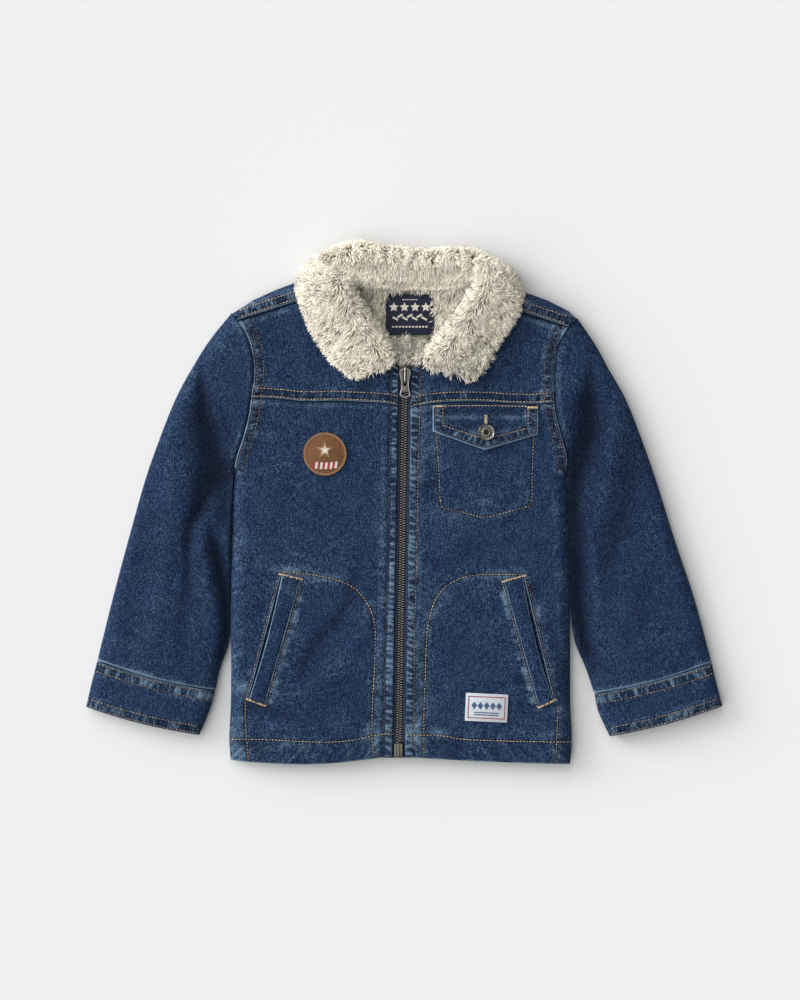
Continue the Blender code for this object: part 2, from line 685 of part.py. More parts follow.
def make_pull(look, group):
    curve = bpy.data.curves.new("zip_pull", "CURVE")
    curve.dimensions = "2D"
    curve.fill_mode = "BOTH"
    curve.extrude = TAB_THICK / 2 * MM
    (slot_from, slot_to), slot_half = TAB_SLOT
    eye_at, eye_half, eye_high = TAB_EYE
    turns = [2 * pi * step / 16 for step in range(16)]
    outlines = (
        [(half, -down) for down, half in TAB] + [(-half, -down) for down, half in reversed(TAB)],
        [(slot_half, -slot_from), (slot_half, -slot_to + slot_half), (0.6 * slot_half, -slot_to),
         (-0.6 * slot_half, -slot_to), (-slot_half, -slot_to + slot_half), (-slot_half, -slot_from)],
        [(eye_half * cos(turn), -eye_at + eye_high * sin(turn)) for turn in turns],
    )
    for outline in outlines:
        spline = curve.splines.new("POLY")
        spline.points.add(len(outline) - 1)
        for point, (x, y) in zip(spline.points, outline):
            point.co = (x * MM, y * MM, 0.0, 1.0)
        spline.use_cyclic_u = True
    pull = bpy.data.objects.new("zip_pull", curve)
    bar_z = PLATE_TOP + SEAM_GAP + BAR_SWEEP
    pull.location = (zip_x(HINGE_LEVEL) * MM, HINGE_LEVEL * MM, bar_z * MM)
    curve.materials.append(look)
    group.objects.link(pull)
    return pull


def make_zip(tape_look, metal_look, group, cutters):
    slider_end = PLATE_CENTRE - PLATE_LENGTH / 2 - SEAM_GAP
    tape_end = PLATE_CENTRE + PLATE_LENGTH / 2
    for name, side in (("zip_tape_right", -1), ("zip_tape_left", 1)):
        zip_strip(name, tape_look, group, side * TAPE_FROM, side * TAPE_TO, STOP_TOP + 0.6,
                  tape_end, TAPE_LOW, TAPE_HIGH)
    zip_strip("zip_chain", metal_look, group, -CHAIN_HALF, CHAIN_HALF, STOP_TOP, slider_end,
              CHAIN_LOW, CHAIN_HIGH)
    zip_strip("zip_bottom_stop", metal_look, group, -STOP_HALF, STOP_HALF, ZIP_END,
              STOP_TOP - SEAM_GAP, CHAIN_LOW, STOP_HIGH)
    make_slider(metal_look, group, cutters)
    make_pull(metal_look, group)


# ---- trims that lie on the panels ----

def make_flap(look, group):
    return layer(
        "pocket_flap", look, group, shares(10, False, False), [0, 1],
        lambda share, row: (mix(FLAP[0].x, FLAP[-1].x, share),
                            mix(read(FLAP, "low", 2 * share, smooth=False),
                                read(FLAP, "top", 2 * share, smooth=False), row)),
        lambda x, y, key: TRIM_LIFT, lambda x, y, key: TRIM_LIFT + FLAP_THICK,
    )


# Radius and height of the button's profile, from the middle of its face down.
BUTTON = (
    (0.0, 2.6), (4.6, 2.7), (5.6, 3.3), (6.9, 3.2), (BUTTON_RADIUS, 2.4), (7.5, 1.7),
    (6.2, 1.4), (2.6, 1.3), (2.6, 0.0), (0.0, 0.0),
)


def make_button(look, group):
    mesh = bpy.data.meshes.new("flap_button")
    bm = bmesh.new()
    points = [bm.verts.new((radius * MM, 0.0, height * MM)) for radius, height in BUTTON]
    for upper, lower in zip(points, points[1:]):
        bm.edges.new((upper, lower))
    bm.to_mesh(mesh)
    bm.free()
    button = bpy.data.objects.new("flap_button", mesh)
    base = TRIM_LIFT + FLAP_THICK + LAYER_GAP
    button.location = (BUTTON_AT[0] * MM, BUTTON_AT[1] * MM, base * MM)
    turning = button.modifiers.new("turned", "SCREW")
    turning.steps = turning.render_steps = 20
    turning.use_merge_vertices = True
    turning.merge_threshold = 0.00001
    button.data.materials.append(look)
    group.objects.link(button)
    return button


def make_patch(look, group):
    bm = bmesh.new()
    bmesh.ops.create_cone(bm, cap_ends=True, segments=28, radius1=PATCH_RADIUS,
                          radius2=PATCH_RADIUS, depth=PATCH_THICK)
    for vertex in bm.verts:
        vertex.co += Vector((PATCH_X, PATCH_Y, TRIM_LIFT + PATCH_THICK / 2))
    return finish(bm, "chest_patch", look, group)


def main():
    clear_scene()
    jacket = collection("sherpa_lined_jacket")
    cutters = collection("cutters")
    denim = material("denim", (0.03, 0.06, 0.14), 0.85)
    sherpa = material("sherpa", (0.72, 0.68, 0.58), 0.95)
    tape = material("zip tape", (0.02, 0.03, 0.08), 0.9)
    metal = material("antique metal", (0.32, 0.29, 0.25), 0.35, 1.0)
    felt = material("patch", (0.3, 0.14, 0.06), 0.9)
    white_label = material("white woven label", (0.75, 0.75, 0.78), 0.8)
    navy_label = material("navy woven label", (0.02, 0.03, 0.07), 0.7)

    make_back(denim, jacket)
    make_front("front_right", FRONT_RIGHT, "left", -1, denim, jacket)
    make_front("front_left", FRONT_LEFT, "right", 1, denim, jacket)
    make_yoke("yoke_right", YOKE_RIGHT, "left", denim, jacket)
    make_yoke("yoke_left", YOKE_LEFT, "right", denim, jacket)
    make_tube("sleeve_right", SLEEVE_RIGHT, "left", 2, 28, denim, jacket)
    make_tube("sleeve_left", SLEEVE_LEFT, "right", 2, 28, denim, jacket)
    make_tube("cuff_right", CUFF_RIGHT, None, 1, 24, denim, jacket)
    make_tube("cuff_left", CUFF_LEFT, None, 1, 24, denim, jacket)
    make_collar(sherpa, jacket)
    make_neck_lining(sherpa, jacket)
    make_zip(tape, metal, jacket, cutters)
    plate("pocket_welt_right", denim, jacket, WELT_RIGHT, TRIM_LIFT, WELT_THICK)
    plate("pocket_welt_left", denim, jacket, WELT_LEFT, TRIM_LIFT, WELT_THICK)
    make_flap(denim, jacket)
    make_button(metal, jacket)
    make_patch(felt, jacket)
    block("hem_label", white_label, jacket, HEM_LABEL_SIZE,
          (*HEM_LABEL_AT, TRIM_LIFT + HEM_LABEL_SIZE[2] / 2), turn=radians(HEM_LABEL_TURN))
    block("neck_label", navy_label, jacket, NECK_LABEL_SIZE,
          (*NECK_LABEL_AT, LINING_TOP + LAYER_GAP + NECK_LABEL_SIZE[2] / 2))


main()
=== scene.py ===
from math import atan2, cos, hypot, pi, radians, sin
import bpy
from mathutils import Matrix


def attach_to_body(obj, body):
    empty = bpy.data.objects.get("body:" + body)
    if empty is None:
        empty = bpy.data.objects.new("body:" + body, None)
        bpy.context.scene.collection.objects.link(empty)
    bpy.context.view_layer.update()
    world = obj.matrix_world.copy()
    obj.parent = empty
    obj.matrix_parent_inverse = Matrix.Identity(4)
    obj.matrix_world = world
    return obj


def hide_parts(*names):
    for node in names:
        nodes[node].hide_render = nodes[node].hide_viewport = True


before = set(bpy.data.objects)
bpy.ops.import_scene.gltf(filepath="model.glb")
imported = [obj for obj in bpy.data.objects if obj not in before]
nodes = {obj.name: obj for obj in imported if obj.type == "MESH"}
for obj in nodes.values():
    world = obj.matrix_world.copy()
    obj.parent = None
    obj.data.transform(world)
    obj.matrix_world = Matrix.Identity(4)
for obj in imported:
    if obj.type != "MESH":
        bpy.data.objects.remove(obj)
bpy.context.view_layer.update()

from types import SimpleNamespace

import bpy
import numpy as np
from mathutils import Vector
from mathutils.bvhtree import BVHTree

# Tables are in millimetres unless they say otherwise, in the frame of the part: X to the
# wearer's left, Y from the hem up to the collar, Z up from the table top.
mm = 0.001

cloth = {
    "cell": 1.35,          # spacing of the panels' points
    "bodyTop": 15.0, "middle": 7.5, "edgeRound": 12.0, "underarm": 30.0,
    "panelLow": 7.7, "thinEdge": 1.2, "zipSlot": 5.6,
    "seat": 15.4,          # level of the front where the flap, welts, patch and label lie
    "neckLeft": 84.0, "neckRight": -66.0, "liningTop": 12.6, "cuffBow": 3.4,
    # how large each panel is taken to be when its points are spaced
    "frontWide": 148.0, "yokeTall": 74.0, "yokeWide": 130.0, "sleeveWide": 108.0,
}


# Rows with their number in front, as the key that read looks them up by.
def numbered(*rows):
    return [(number, *row) for number, row in enumerate(rows)]


# A column of a table at some keys; the first column holds the rows' own keys.
def read(table, column, keys, smooth=True):
    rows = np.array([row[0] for row in table], float)
    values = np.array([row[column] for row in table], float)
    keys = np.clip(np.asarray(keys, float), rows[0], rows[-1])
    if not smooth:
        return np.interp(keys, rows, values)
    low = np.clip(np.searchsorted(rows, keys, side="right") - 1, 0, len(rows) - 2)
    span = rows[low + 1] - rows[low]
    t = (keys - rows[low]) / span
    index = np.arange(len(rows))
    before, after = np.maximum(index - 1, 0), np.minimum(index + 1, len(rows) - 1)
    slope = (values[after] - values[before]) / (rows[after] - rows[before])
    leave, arrive = slope[low] * span, slope[low + 1] * span
    return ((2 * t**3 - 3 * t**2 + 1) * values[low] + (t**3 - 2 * t**2 + t) * leave
            + (3 * t**2 - 2 * t**3) * values[low + 1] + (t**3 - t**2) * arrive)


def mix(here, there, share):
    return here + (there - here) * share


def rounded(distance, radius):
    inside = 1 - np.clip(distance, 0, radius) / radius
    return np.sqrt(np.maximum(0.0, 1 - inside**2))


def bump(distance, width):
    return np.exp(-(distance / width) ** 2)


def step(value, low, high):
    t = np.clip((value - low) / (high - low), 0, 1)
    return t * t * (3 - 2 * t)


# Soft random lumps of a given size, from -1 to 1.
def lumps(x, y, size, seed):
    values = np.random.default_rng(seed).random((128, 128)) * 2 - 1
    u, v = x / size + 40.3, y / size + 57.7
    i, j = np.floor(u).astype(int), np.floor(v).astype(int)
    f, g = u - i, v - j
    f, g = f * f * (3 - 2 * f), g * g * (3 - 2 * g)
    at = lambda a, b: values[(i + a) % 128, (j + b) % 128]
    return mix(mix(at(0, 0), at(1, 0), f), mix(at(0, 1), at(1, 1), f), g)


# The same lumps, from 0 to 1.
def patchy(x, y, size, seed):
    return 0.5 + 0.5 * lumps(x, y, size, seed)


def unit(vectors):
    return vectors / np.maximum(np.linalg.norm(vectors, axis=-1), 1e-6)[..., None]


# How far along a path each of its points is.
def distances(points):
    return np.concatenate([[0], np.cumsum(np.hypot(*np.diff(points, axis=0).T))])


# A path through a few spots, with a point every few millimetres.
def pathOf(spots, gap=3.0, smooth=True):
    spots = np.array(spots, float)
    at = distances(spots)
    table = [(a, x, y) for a, (x, y) in zip(at, spots)]
    keys = np.linspace(0, at[-1], max(2, int(at[-1] / gap) + 1))
    if not smooth:
        keys = np.unique(np.concatenate([keys, at]))
    return np.column_stack([read(table, 1, keys, smooth), read(table, 2, keys, smooth)])


# The same path moved sideways; a positive distance is to its left.
def shifted(path, distance):
    along = np.gradient(path, axis=0)
    along /= np.maximum(np.hypot(along[:, 0], along[:, 1]), 1e-6)[:, None]
    return path + distance * np.column_stack([-along[:, 1], along[:, 0]])


# Distance of points from a path, how far along it they are, and on which side: + is left.
def fromPath(x, y, path):
    flatX, flatY = x.ravel(), y.ravel()
    best = np.full(flatX.shape, 1e9)
    run, side = np.zeros_like(best), np.ones_like(best)
    start = 0.0
    for (ax, ay), (bx, by) in zip(path[:-1], path[1:]):
        length = hypot(bx - ax, by - ay)
        if length < 1e-6:
            continue
        dx, dy = flatX - ax, flatY - ay
        t = np.clip((dx * (bx - ax) + dy * (by - ay)) / length**2, 0, 1)
        away = np.hypot(dx - t * (bx - ax), dy - t * (by - ay))
        closer = away < best
        best[closer] = away[closer]
        run[closer] = start + t[closer] * length
        side[closer] = np.where(((bx - ax) * dy - (by - ay) * dx)[closer] >= 0, 1, -1)
        start += length
    return best.reshape(x.shape), run.reshape(x.shape), side.reshape(x.shape)


# Places from 0 to a length at an even spacing, closer together at the ends.
def stations(length, cell):
    fine = [0.0, 0.35, 0.8, 1.4, 2.2]
    end = [length - value for value in reversed(fine)]
    count = max(1, round((end[0] - fine[-1]) / cell))
    middle = [mix(fine[-1], end[0], index / count) for index in range(1, count)]
    return np.array(fine + middle + end)


# The same places as shares of the length.
def shares(length, cell):
    return stations(length, cell) / length


# Keys through a table of rows that are a given number of millimetres apart at its middle.
def evenKeys(last, placeAt, cell):
    fine = np.linspace(0, last, 400)
    at = distances(np.column_stack(placeAt(np.full_like(fine, 0.5), fine)))
    return np.interp(stations(at[-1], cell), at, fine)


# Outline of the laid jacket: level, and the wearer's right and left side there.
sides = (
    (-236, -155.6, 149.6), (-213, -157.4, 151), (-175, -155.8, 149.6),
    (-95, -155.7, 149.4), (-38, -154.8, 147.8), (22, -153.6, 146),
    (40, -151, 146.8), (58, -145.2, 142.6), (78, -139.8, 137.2),
    (95, -137.5, 135), (118, -134.6, 134.8), (138, -137, 137.5),
    (156, -142.8, 144.3), (166, -149.5, 154.4), (171, -155, 159.5),
)
shoulderSeam = (
    (-156, 163), (-66, 192), (-50, 194), (0, 188.5),
    (60, 187), (84, 180.1), (156, 156.5),
)
shoulderFold = (
    (-156, 170), (-136, 183), (-116, 192.2), (-95, 200), (-66, 207),
    (-45, 208), (-20, 201), (0, 197.5), (22, 198), (44, 204), (64, 209),
    (84, 203), (110, 190), (129, 183), (148, 173.5), (156, 166),
)


def zipX(y):
    return 0.5 + (y - 93.0) / 60


def sideX(y, side):
    return read(sides, 1 if side < 0 else 2, y)


def seamY(x):
    return read(shoulderSeam, 1, x, smooth=False)


def foldY(x):
    return read(shoulderFold, 1, x, smooth=False)


def edgeDistance(x, y):
    level = np.minimum(y, cloth["underarm"])
    fromSide = np.minimum(x - sideX(level, -1), sideX(level, 1) - x)
    fromSeam = np.hypot(np.maximum(fromSide, 0), y - level)
    atNeck = (x > cloth["neckRight"]) & (x < cloth["neckLeft"])
    fromFold = np.where(atNeck, cloth["edgeRound"], foldY(x) - y)
    return np.minimum(fromSeam, fromFold)


def bodyTop(x, y):
    rise = cloth["bodyTop"] - cloth["middle"]
    return cloth["middle"] + rise * rounded(edgeDistance(x, y), cloth["edgeRound"])


# yoke to flap: how far the two rows of stitching lie from the edge at each kind of seam
seamLook = {
    "yoke": (1.6, 8.3), "armhole": (2.6, 8.6), "shoulder": (2.0, 8.4),
    "cuffTop": (1.7, 8.6), "cuffEnd": (1.5, 8.0), "flap": (2.7, 9.2),
    "lift": 0.9,             # how much the folded layers stand up
    "roll": 1.1,             # how far the edge itself rolls down
    "ditch": 0.55,           # how far a row of stitching pulls the cloth in
    "tick": 3.4,             # half the spacing of the puckers along a seam
    "rib": 4.6,              # spacing of the fine ridges between two rows
}


# Every panel collects its height, wear and painted shade from its seams and folds.
def newRelief(x):
    return SimpleNamespace(z=np.zeros_like(x), wear=np.zeros_like(x), shade=np.zeros_like(x))


# Puckers along a seam, mostly flat with short crests: from -1 to 1.
def puckers(run, across, size, seed):
    return np.tanh(2.3 * lumps(run, across, size, seed))


def crests(ticks):
    return np.clip((ticks - 0.1) / 0.8, 0, 1)


# Short ridges across a seam, unevenly spaced, slanted and strong: from 0 to 1.
def ridges(run, across, gap, width, seed, slant):
    random = np.random.default_rng(seed)
    value = np.zeros_like(run)
    spot, last = float(run.min()), float(run.max())
    while spot < last:
        lean, bow = slant + random.normal(0, 0.22), random.normal(0, 0.035)
        strength, wide = random.uniform(0.3, 1.0), width * random.uniform(0.7, 1.35)
        near = np.abs(run - spot) < 14
        off = run[near] - spot - lean * across[near] - bow * across[near] ** 2
        value[near] = np.maximum(value[near], strength * np.exp(-(off / wide) ** 2))
        spot += gap * random.uniform(0.55, 1.45)
    return value


# The edge of this panel lies on its neighbour and is stitched down twice.
def lappedEdge(relief, x, y, path, seed, rows="yoke", wear=1.0, stop=None, edgeWear=0.85,
               slant=0.25, blobs=0.0):
    first, second = seamLook[rows]
    d, run, _ = fromPath(x, y, path)
    fade = 1.0 if stop is None else stop(x, y)
    ticks = puckers(run + 0.5 * d, d / 3.2, seamLook["tick"], seed)
    ribs = ridges(run, d - 5, seamLook["rib"], 0.75, seed + 60, slant)
    patches = patchy(run, d / 8, 11.0, seed + 1)
    between = step(d, first - 0.6, first + 0.8) * (1 - step(d, second - 0.6, second + 0.6))
    beyond = bump(d - second - 2.0, 1.9)
    spots = blobs * np.clip((lumps(run, d / 6, 4.6, seed + 7) - 0.05) / 0.5, 0, 1)
    relief.z += fade * (
        seamLook["lift"] * (1 - step(d, second + 0.5, second + 4.0))
        - seamLook["roll"] * (1 - rounded(d, 0.9))
        - seamLook["ditch"] * (bump(d - first, 0.8) + bump(d - second, 0.8))
        + 0.42 * ticks * between + 0.5 * ribs * between + 0.3 * np.maximum(ticks, 0) * beyond
    )
    relief.wear += wear * fade * (
        edgeWear * bump(d - 0.45, 0.6) * (0.7 + 0.3 * patches)
        + between * (0.8 * ribs * (0.35 + 0.65 * patches) + 0.4 * crests(ticks) * patches + spots)
        + 0.45 * beyond * (0.2 + 0.9 * patches * (0.5 + 0.5 * ticks))
    )
    # painted shade between the two rows and in the ditches of the stitching
    relief.shade += fade * (
        0.52 * between * (1 - ribs) * (1 - 0.7 * crests(ticks) * patches)
        + 0.5 * bump(d - first, 0.8) + 0.5 * bump(d - second, 0.9)
    )


# This panel dives under its neighbour at the edge.
def tuckedEdge(relief, x, y, path, seed, wear):
    d, run, _ = fromPath(x, y, path)
    ticks = lumps(run, d / 3, seamLook["tick"], seed + 1)
    relief.z += 0.22 * ticks * bump(d - 3, 3.0) - seamLook["roll"] * bump(d, 1.5)
    relief.wear += wear * bump(d - 4.2, 2.6) * (0.35 + 0.9 * patchy(run, d / 5, 8.0, seed))
    # painted shadow of the neighbour's edge along this one
    relief.shade += 0.85 * bump(d, 0.95) + 0.1 * bump(d, 2.6)


# One row of stitching in the middle of a panel. left and right say how puckered and worn
# the cloth is on either side of it.
def stitchedLine(relief, x, y, path, seed, left, right, reach=5.0):
    d, run, side = fromPath(x, y, path)
    amount = np.where(side > 0, left, right)
    ticks = puckers(run, side * d / 3.4, seamLook["tick"], seed)
    patches = patchy(run, side * d / 9, 15.0, seed + 1)
    near = bump(d, reach)
    relief.z -= seamLook["ditch"] * bump(d, 1.1)
    relief.z += amount * 0.34 * ticks * near
    worn = np.clip(0.7 * crests(ticks) * patches + 0.25 * patches, 0, 1)
    relief.wear += amount * near * step(d, 0.5, 1.6) * worn
    # painted shade along the ditch of the stitching and in the hollows of its puckers
    relief.shade += 0.85 * bump(d, 0.9) + amount * 0.4 * np.maximum(-ticks, 0) * near


# Soft troughs along straight lines: from, to, width and depth; a ridge has a negative depth.
def creased(relief, x, y, creases, seed):
    for number, (x1, y1, x2, y2, width, depth) in enumerate(creases):
        run, rise = x2 - x1, y2 - y1
        length = hypot(run, rise)
        along = ((x - x1) * run + (y - y1) * rise) / length
        across = ((x - x1) * rise - (y - y1) * run) / length
        across = across + 2.5 * lumps(along, across * 0, 38.0, seed + number)
        beyond = np.maximum(0, np.maximum(-along, along - length))
        relief.z -= depth * np.exp(-(across**2 + (0.6 * beyond) ** 2) / width**2)


# dark, up to darkest: painted shade in a fold for each millimetre of its depth; spread: how wide it is, as a
# share of the fold's width; pale: wear on a ridge
foldLook = {"dark": 0.22, "darkest": 0.95, "pale": 0.07, "spread": 1.18}


# Deep folds and long ridges along curved lines of (x, y, width, depth). A fold is darkened
# inside with painted shade, and is worn less there; a ridge has a negative depth and is paler.
def folded(relief, x, y, folds, seed):
    for number, fold in enumerate(folds):
        spots = np.array(fold, float)
        at = distances(spots[:, :2])
        d, run, _ = fromPath(x, y, pathOf(spots[:, :2], gap=5.0))
        width = np.interp(run, at, spots[:, 2]) * (1 + 0.12 * lumps(run, d * 0, 26.0, seed + number))
        depth = np.interp(run, at, spots[:, 3])
        near = bump(d, width)
        relief.z -= depth * near
        # painted shade inside the fold
        dark = np.clip(foldLook["dark"] * depth, 0, foldLook["darkest"])
        relief.shade += dark * bump(d, foldLook["spread"] * width)
        relief.wear += np.clip(-foldLook["pale"] * depth, -0.3, 0.2) * near


def faded(relief, x, y, spots):
    for px, py, rx, ry, amount in spots:
        mottle = 0.85 + 0.3 * lumps(x / 2, y, 2.6, int(abs(px * 7 + py)) + 3)
        relief.wear += amount * mottle * np.exp(-(((x - px) / rx) ** 2 + ((y - py) / ry) ** 2))


# Uneven cloth: broad and finer waves, and patches that have faded more than others.
def uneven(relief, x, y, seed, broad=0.45, fine=0.12):
    relief.z += broad * lumps(x, y, 34.0, seed) + fine * lumps(x, y, 9.0, seed + 1)
    relief.wear += 0.05 + 0.08 * lumps(x, y, 26.0, seed + 2) + 0.06 * lumps(x, y, 8.0, seed + 3)


def deselect():
    if bpy.context.object and bpy.context.object.mode != "OBJECT":
        bpy.ops.object.mode_set(mode="OBJECT")
    bpy.ops.object.select_all(action="DESELECT")


def giveAttribute(piece, name, values):
    layer = piece.data.attributes.get(name) or piece.data.attributes.new(name, "FLOAT", "POINT")
    layer.data.foreach_set("value", np.ascontiguousarray(values, np.float32).ravel())


def placesOf(piece, kind=float):
    points = np.zeros(len(piece.data.vertices) * 3, kind)
    piece.data.vertices.foreach_get("co", points)
    return points.reshape(-1, 3)


def facesOf(piece):
    return [tuple(face.vertices) for face in piece.data.polygons]


# Where the weave of the cloth is, so that it follows each panel.
def giveGrain(piece, u, v):
    grain = np.column_stack([u.ravel() * mm, v.ravel() * mm, placesOf(piece, np.float32)[:, 2]])
    layer = piece.data.attributes.new("grain", "FLOAT_VECTOR", "POINT")
    layer.data.foreach_set("vector", grain.astype(np.float32).ravel())


def setPlaces(piece, x, y, z):
    points = np.column_stack([x.ravel(), y.ravel(), z.ravel()]) * mm
    piece.data.vertices.foreach_set("co", points.astype(np.float32).ravel())
    piece.data.update()


def newPiece(name, data):
    piece = bpy.data.objects.new(name, data)
    bpy.context.scene.collection.objects.link(piece)
    return piece


# A grid with the given numbers of points; its vertices run along x first.
def addGrid(name, across, along):
    deselect()
    bpy.ops.mesh.primitive_grid_add(x_subdivisions=across - 1, y_subdivisions=along - 1, size=2)
    piece = bpy.context.object
    piece.name = piece.data.name = name
    return piece


def giveWear(piece, wear, shade):
    giveAttribute(piece, "wear", np.clip(wear, 0, 1))
    giveAttribute(piece, "shade", np.clip(shade, 0, 1))


def editMode(*operators):
    bpy.ops.object.mode_set(mode="EDIT")
    bpy.ops.mesh.select_all(action="SELECT")
    for operator in operators:
        operator()


# Merges points that meet, turns all faces outwards and leaves edit mode.
def closeMesh(merge=0.0):
    editMode()
    if merge:
        bpy.ops.mesh.remove_doubles(threshold=merge)
    bpy.ops.mesh.normals_make_consistent(inside=False)
    bpy.ops.object.mode_set(mode="OBJECT")


def choose(piece):
    deselect()
    piece.select_set(True)
    bpy.context.view_layer.objects.active = piece


# A material, and smooth shading over edges that turn by less than an angle.
def giveLook(piece, look, angle=50):
    piece.data.materials.clear()
    piece.data.materials.append(look)
    choose(piece)
    bpy.ops.object.shade_smooth_by_angle(angle=radians(angle))


def roundEdges(piece, width, segments, **limit):
    edge = piece.modifiers.new("rounded", "BEVEL")
    edge.width, edge.segments = width, segments
    for name, value in limit.items():
        setattr(edge, name, value)
    bpy.ops.object.modifier_apply(modifier=edge.name)


# Every visible piece rides a body, and may stand for a solid.
def attach(piece, node=None, body="jacket"):
    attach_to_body(piece, body)
    if node:
        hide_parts(node)
    pieces[piece.name] = piece


# An upper face of denim with a skirt down to a flat underside.
def clothFace(name, x, y, relief):
    piece = addGrid(name, x.shape[1], x.shape[0])
    setPlaces(piece, x, y, relief.z)
    giveGrain(piece, x, y)
    giveWear(piece, relief.wear, relief.shade)
    editMode(bpy.ops.mesh.region_to_loop, bpy.ops.mesh.extrude_region)
    bpy.ops.transform.resize(value=(1, 1, 0), center_override=(0, 0, cloth["panelLow"] * mm))
    bpy.ops.mesh.edge_face_add()
    closeMesh()
    giveLook(piece, denim)
    return piece


# A closed piece of cloth between an upper and a lower face on the same grid.
def closedCloth(name, x, y, relief, low, look):
    piece, low = addGrid(name, x.shape[1], x.shape[0]), np.broadcast_to(low, x.shape)
    editMode()
    bpy.ops.mesh.extrude_region_move(TRANSFORM_OT_translate={"value": (0, 0, -1)})
    bpy.ops.object.mode_set(mode="OBJECT")
    points = placesOf(piece, np.float32)
    column = np.rint((points[:, 0] + 1) / 2 * (x.shape[1] - 1)).astype(int)
    row = np.rint((points[:, 1] + 1) / 2 * (x.shape[0] - 1)).astype(int)
    at, upper = (row, column), points[:, 2] > -0.5
    setPlaces(piece, x[at], y[at], np.where(upper, relief.z[at], low[at]))
    giveGrain(piece, x[at], y[at])
    giveWear(piece, relief.wear[at] * upper, relief.shade[at] * upper)
    closeMesh()
    giveLook(piece, look)
    return piece


def newLook(name, colour, roughness, metallic=0.0, specular=0.2, **others):
    look = bpy.data.materials.new(name)
    look.use_nodes = True
    shader = look.node_tree.nodes["Principled BSDF"]
    settings = {"Base Color": (*colour, 1), "Roughness": roughness, "Metallic": metallic,
                "Specular IOR Level": specular, **others}
    for socket, value in settings.items():
        shader.inputs[socket].default_value = value
    return look, look.node_tree, shader


def put(tree, kind, links, **settings):
    node = tree.nodes.new(kind)
    for name, value in settings.items():
        setattr(node, name, value)
    for socket, value in links.items():
        if isinstance(value, bpy.types.NodeSocket):
            tree.links.new(value, node.inputs[socket])
        else:
            node.inputs[socket].default_value = value
    return node


def times(tree, a, b):
    return put(tree, "ShaderNodeMath", {0: a, 1: b}, operation="MULTIPLY").outputs[0]


# The sum of several values, each at its own share.
def summed(tree, *terms):
    total = None
    for value, share in terms:
        part = value if share == 1 else times(tree, value, share)
        if total is not None:
            part = put(tree, "ShaderNodeMath", {0: total, 1: part}, operation="ADD").outputs[0]
        total = part
    return total


def ranged(tree, value, low=0.0, high=1.0, toLow=0.0, toHigh=1.0, how="LINEAR"):
    limits = {"Value": value, "From Min": low, "From Max": high, "To Min": toLow, "To Max": toHigh}
    return put(tree, "ShaderNodeMapRange", limits, interpolation_type=how).outputs[0]


def blended(tree, share, a, b, how="MIX"):
    a, b = (value if isinstance(value, bpy.types.NodeSocket) else (*value, 1) for value in (a, b))
    return put(tree, "ShaderNodeMix", {0: share, 6: a, 7: b}, data_type="RGBA", blend_type=how,
               clamp_factor=True).outputs[2]


# Colours at places from 0 to 1.
def ramped(tree, share, stops):
    ramp = put(tree, "ShaderNodeValToRGB", {"Fac": share})
    elements = ramp.color_ramp.elements
    elements[0].color, elements[1].color = (*stops[0][1], 1), (*stops[-1][1], 1)
    for at, colour in stops[1:-1]:
        elements.new(at).color = (*colour, 1)
    return ramp.outputs[0]


def noiseAt(tree, where, scale, stretch=(1, 1, 1), detail=2.0, rough=0.5):
    place = put(tree, "ShaderNodeMapping", {"Vector": where, "Scale": tuple(scale * s for s in stretch)})
    return put(tree, "ShaderNodeTexNoise",
               {"Vector": place.outputs[0], "Scale": 1.0, "Detail": detail, "Roughness": rough}).outputs[0]


def attribute(tree, name, socket="Fac"):
    return put(tree, "ShaderNodeAttribute", {}, attribute_name=name).outputs[socket]


def objectPlace(tree):
    return put(tree, "ShaderNodeTexCoord", {}).outputs["Object"]


def paint(tree, shader, colour, height=None, strength=0.3, deep=0.0003):
    tree.links.new(colour, shader.inputs["Base Color"])
    if height is not None:
        relief = put(tree, "ShaderNodeBump", {"Height": height, "Strength": strength, "Distance": deep})
        tree.links.new(relief.outputs[0], shader.inputs["Normal"])


denimLook = {
    "dark": (0.0022, 0.0062, 0.0205), "middle": (0.0072, 0.018, 0.0515),
    "light": (0.0325, 0.066, 0.128), "worn": (0.118, 0.192, 0.268), "shaded": (0.12, 0.12, 0.16),
    "fleck": 1150.0, "twill": 300.0, "spread": 0.105, "bump": 0.35, "bumpDeep": 0.0004,
}
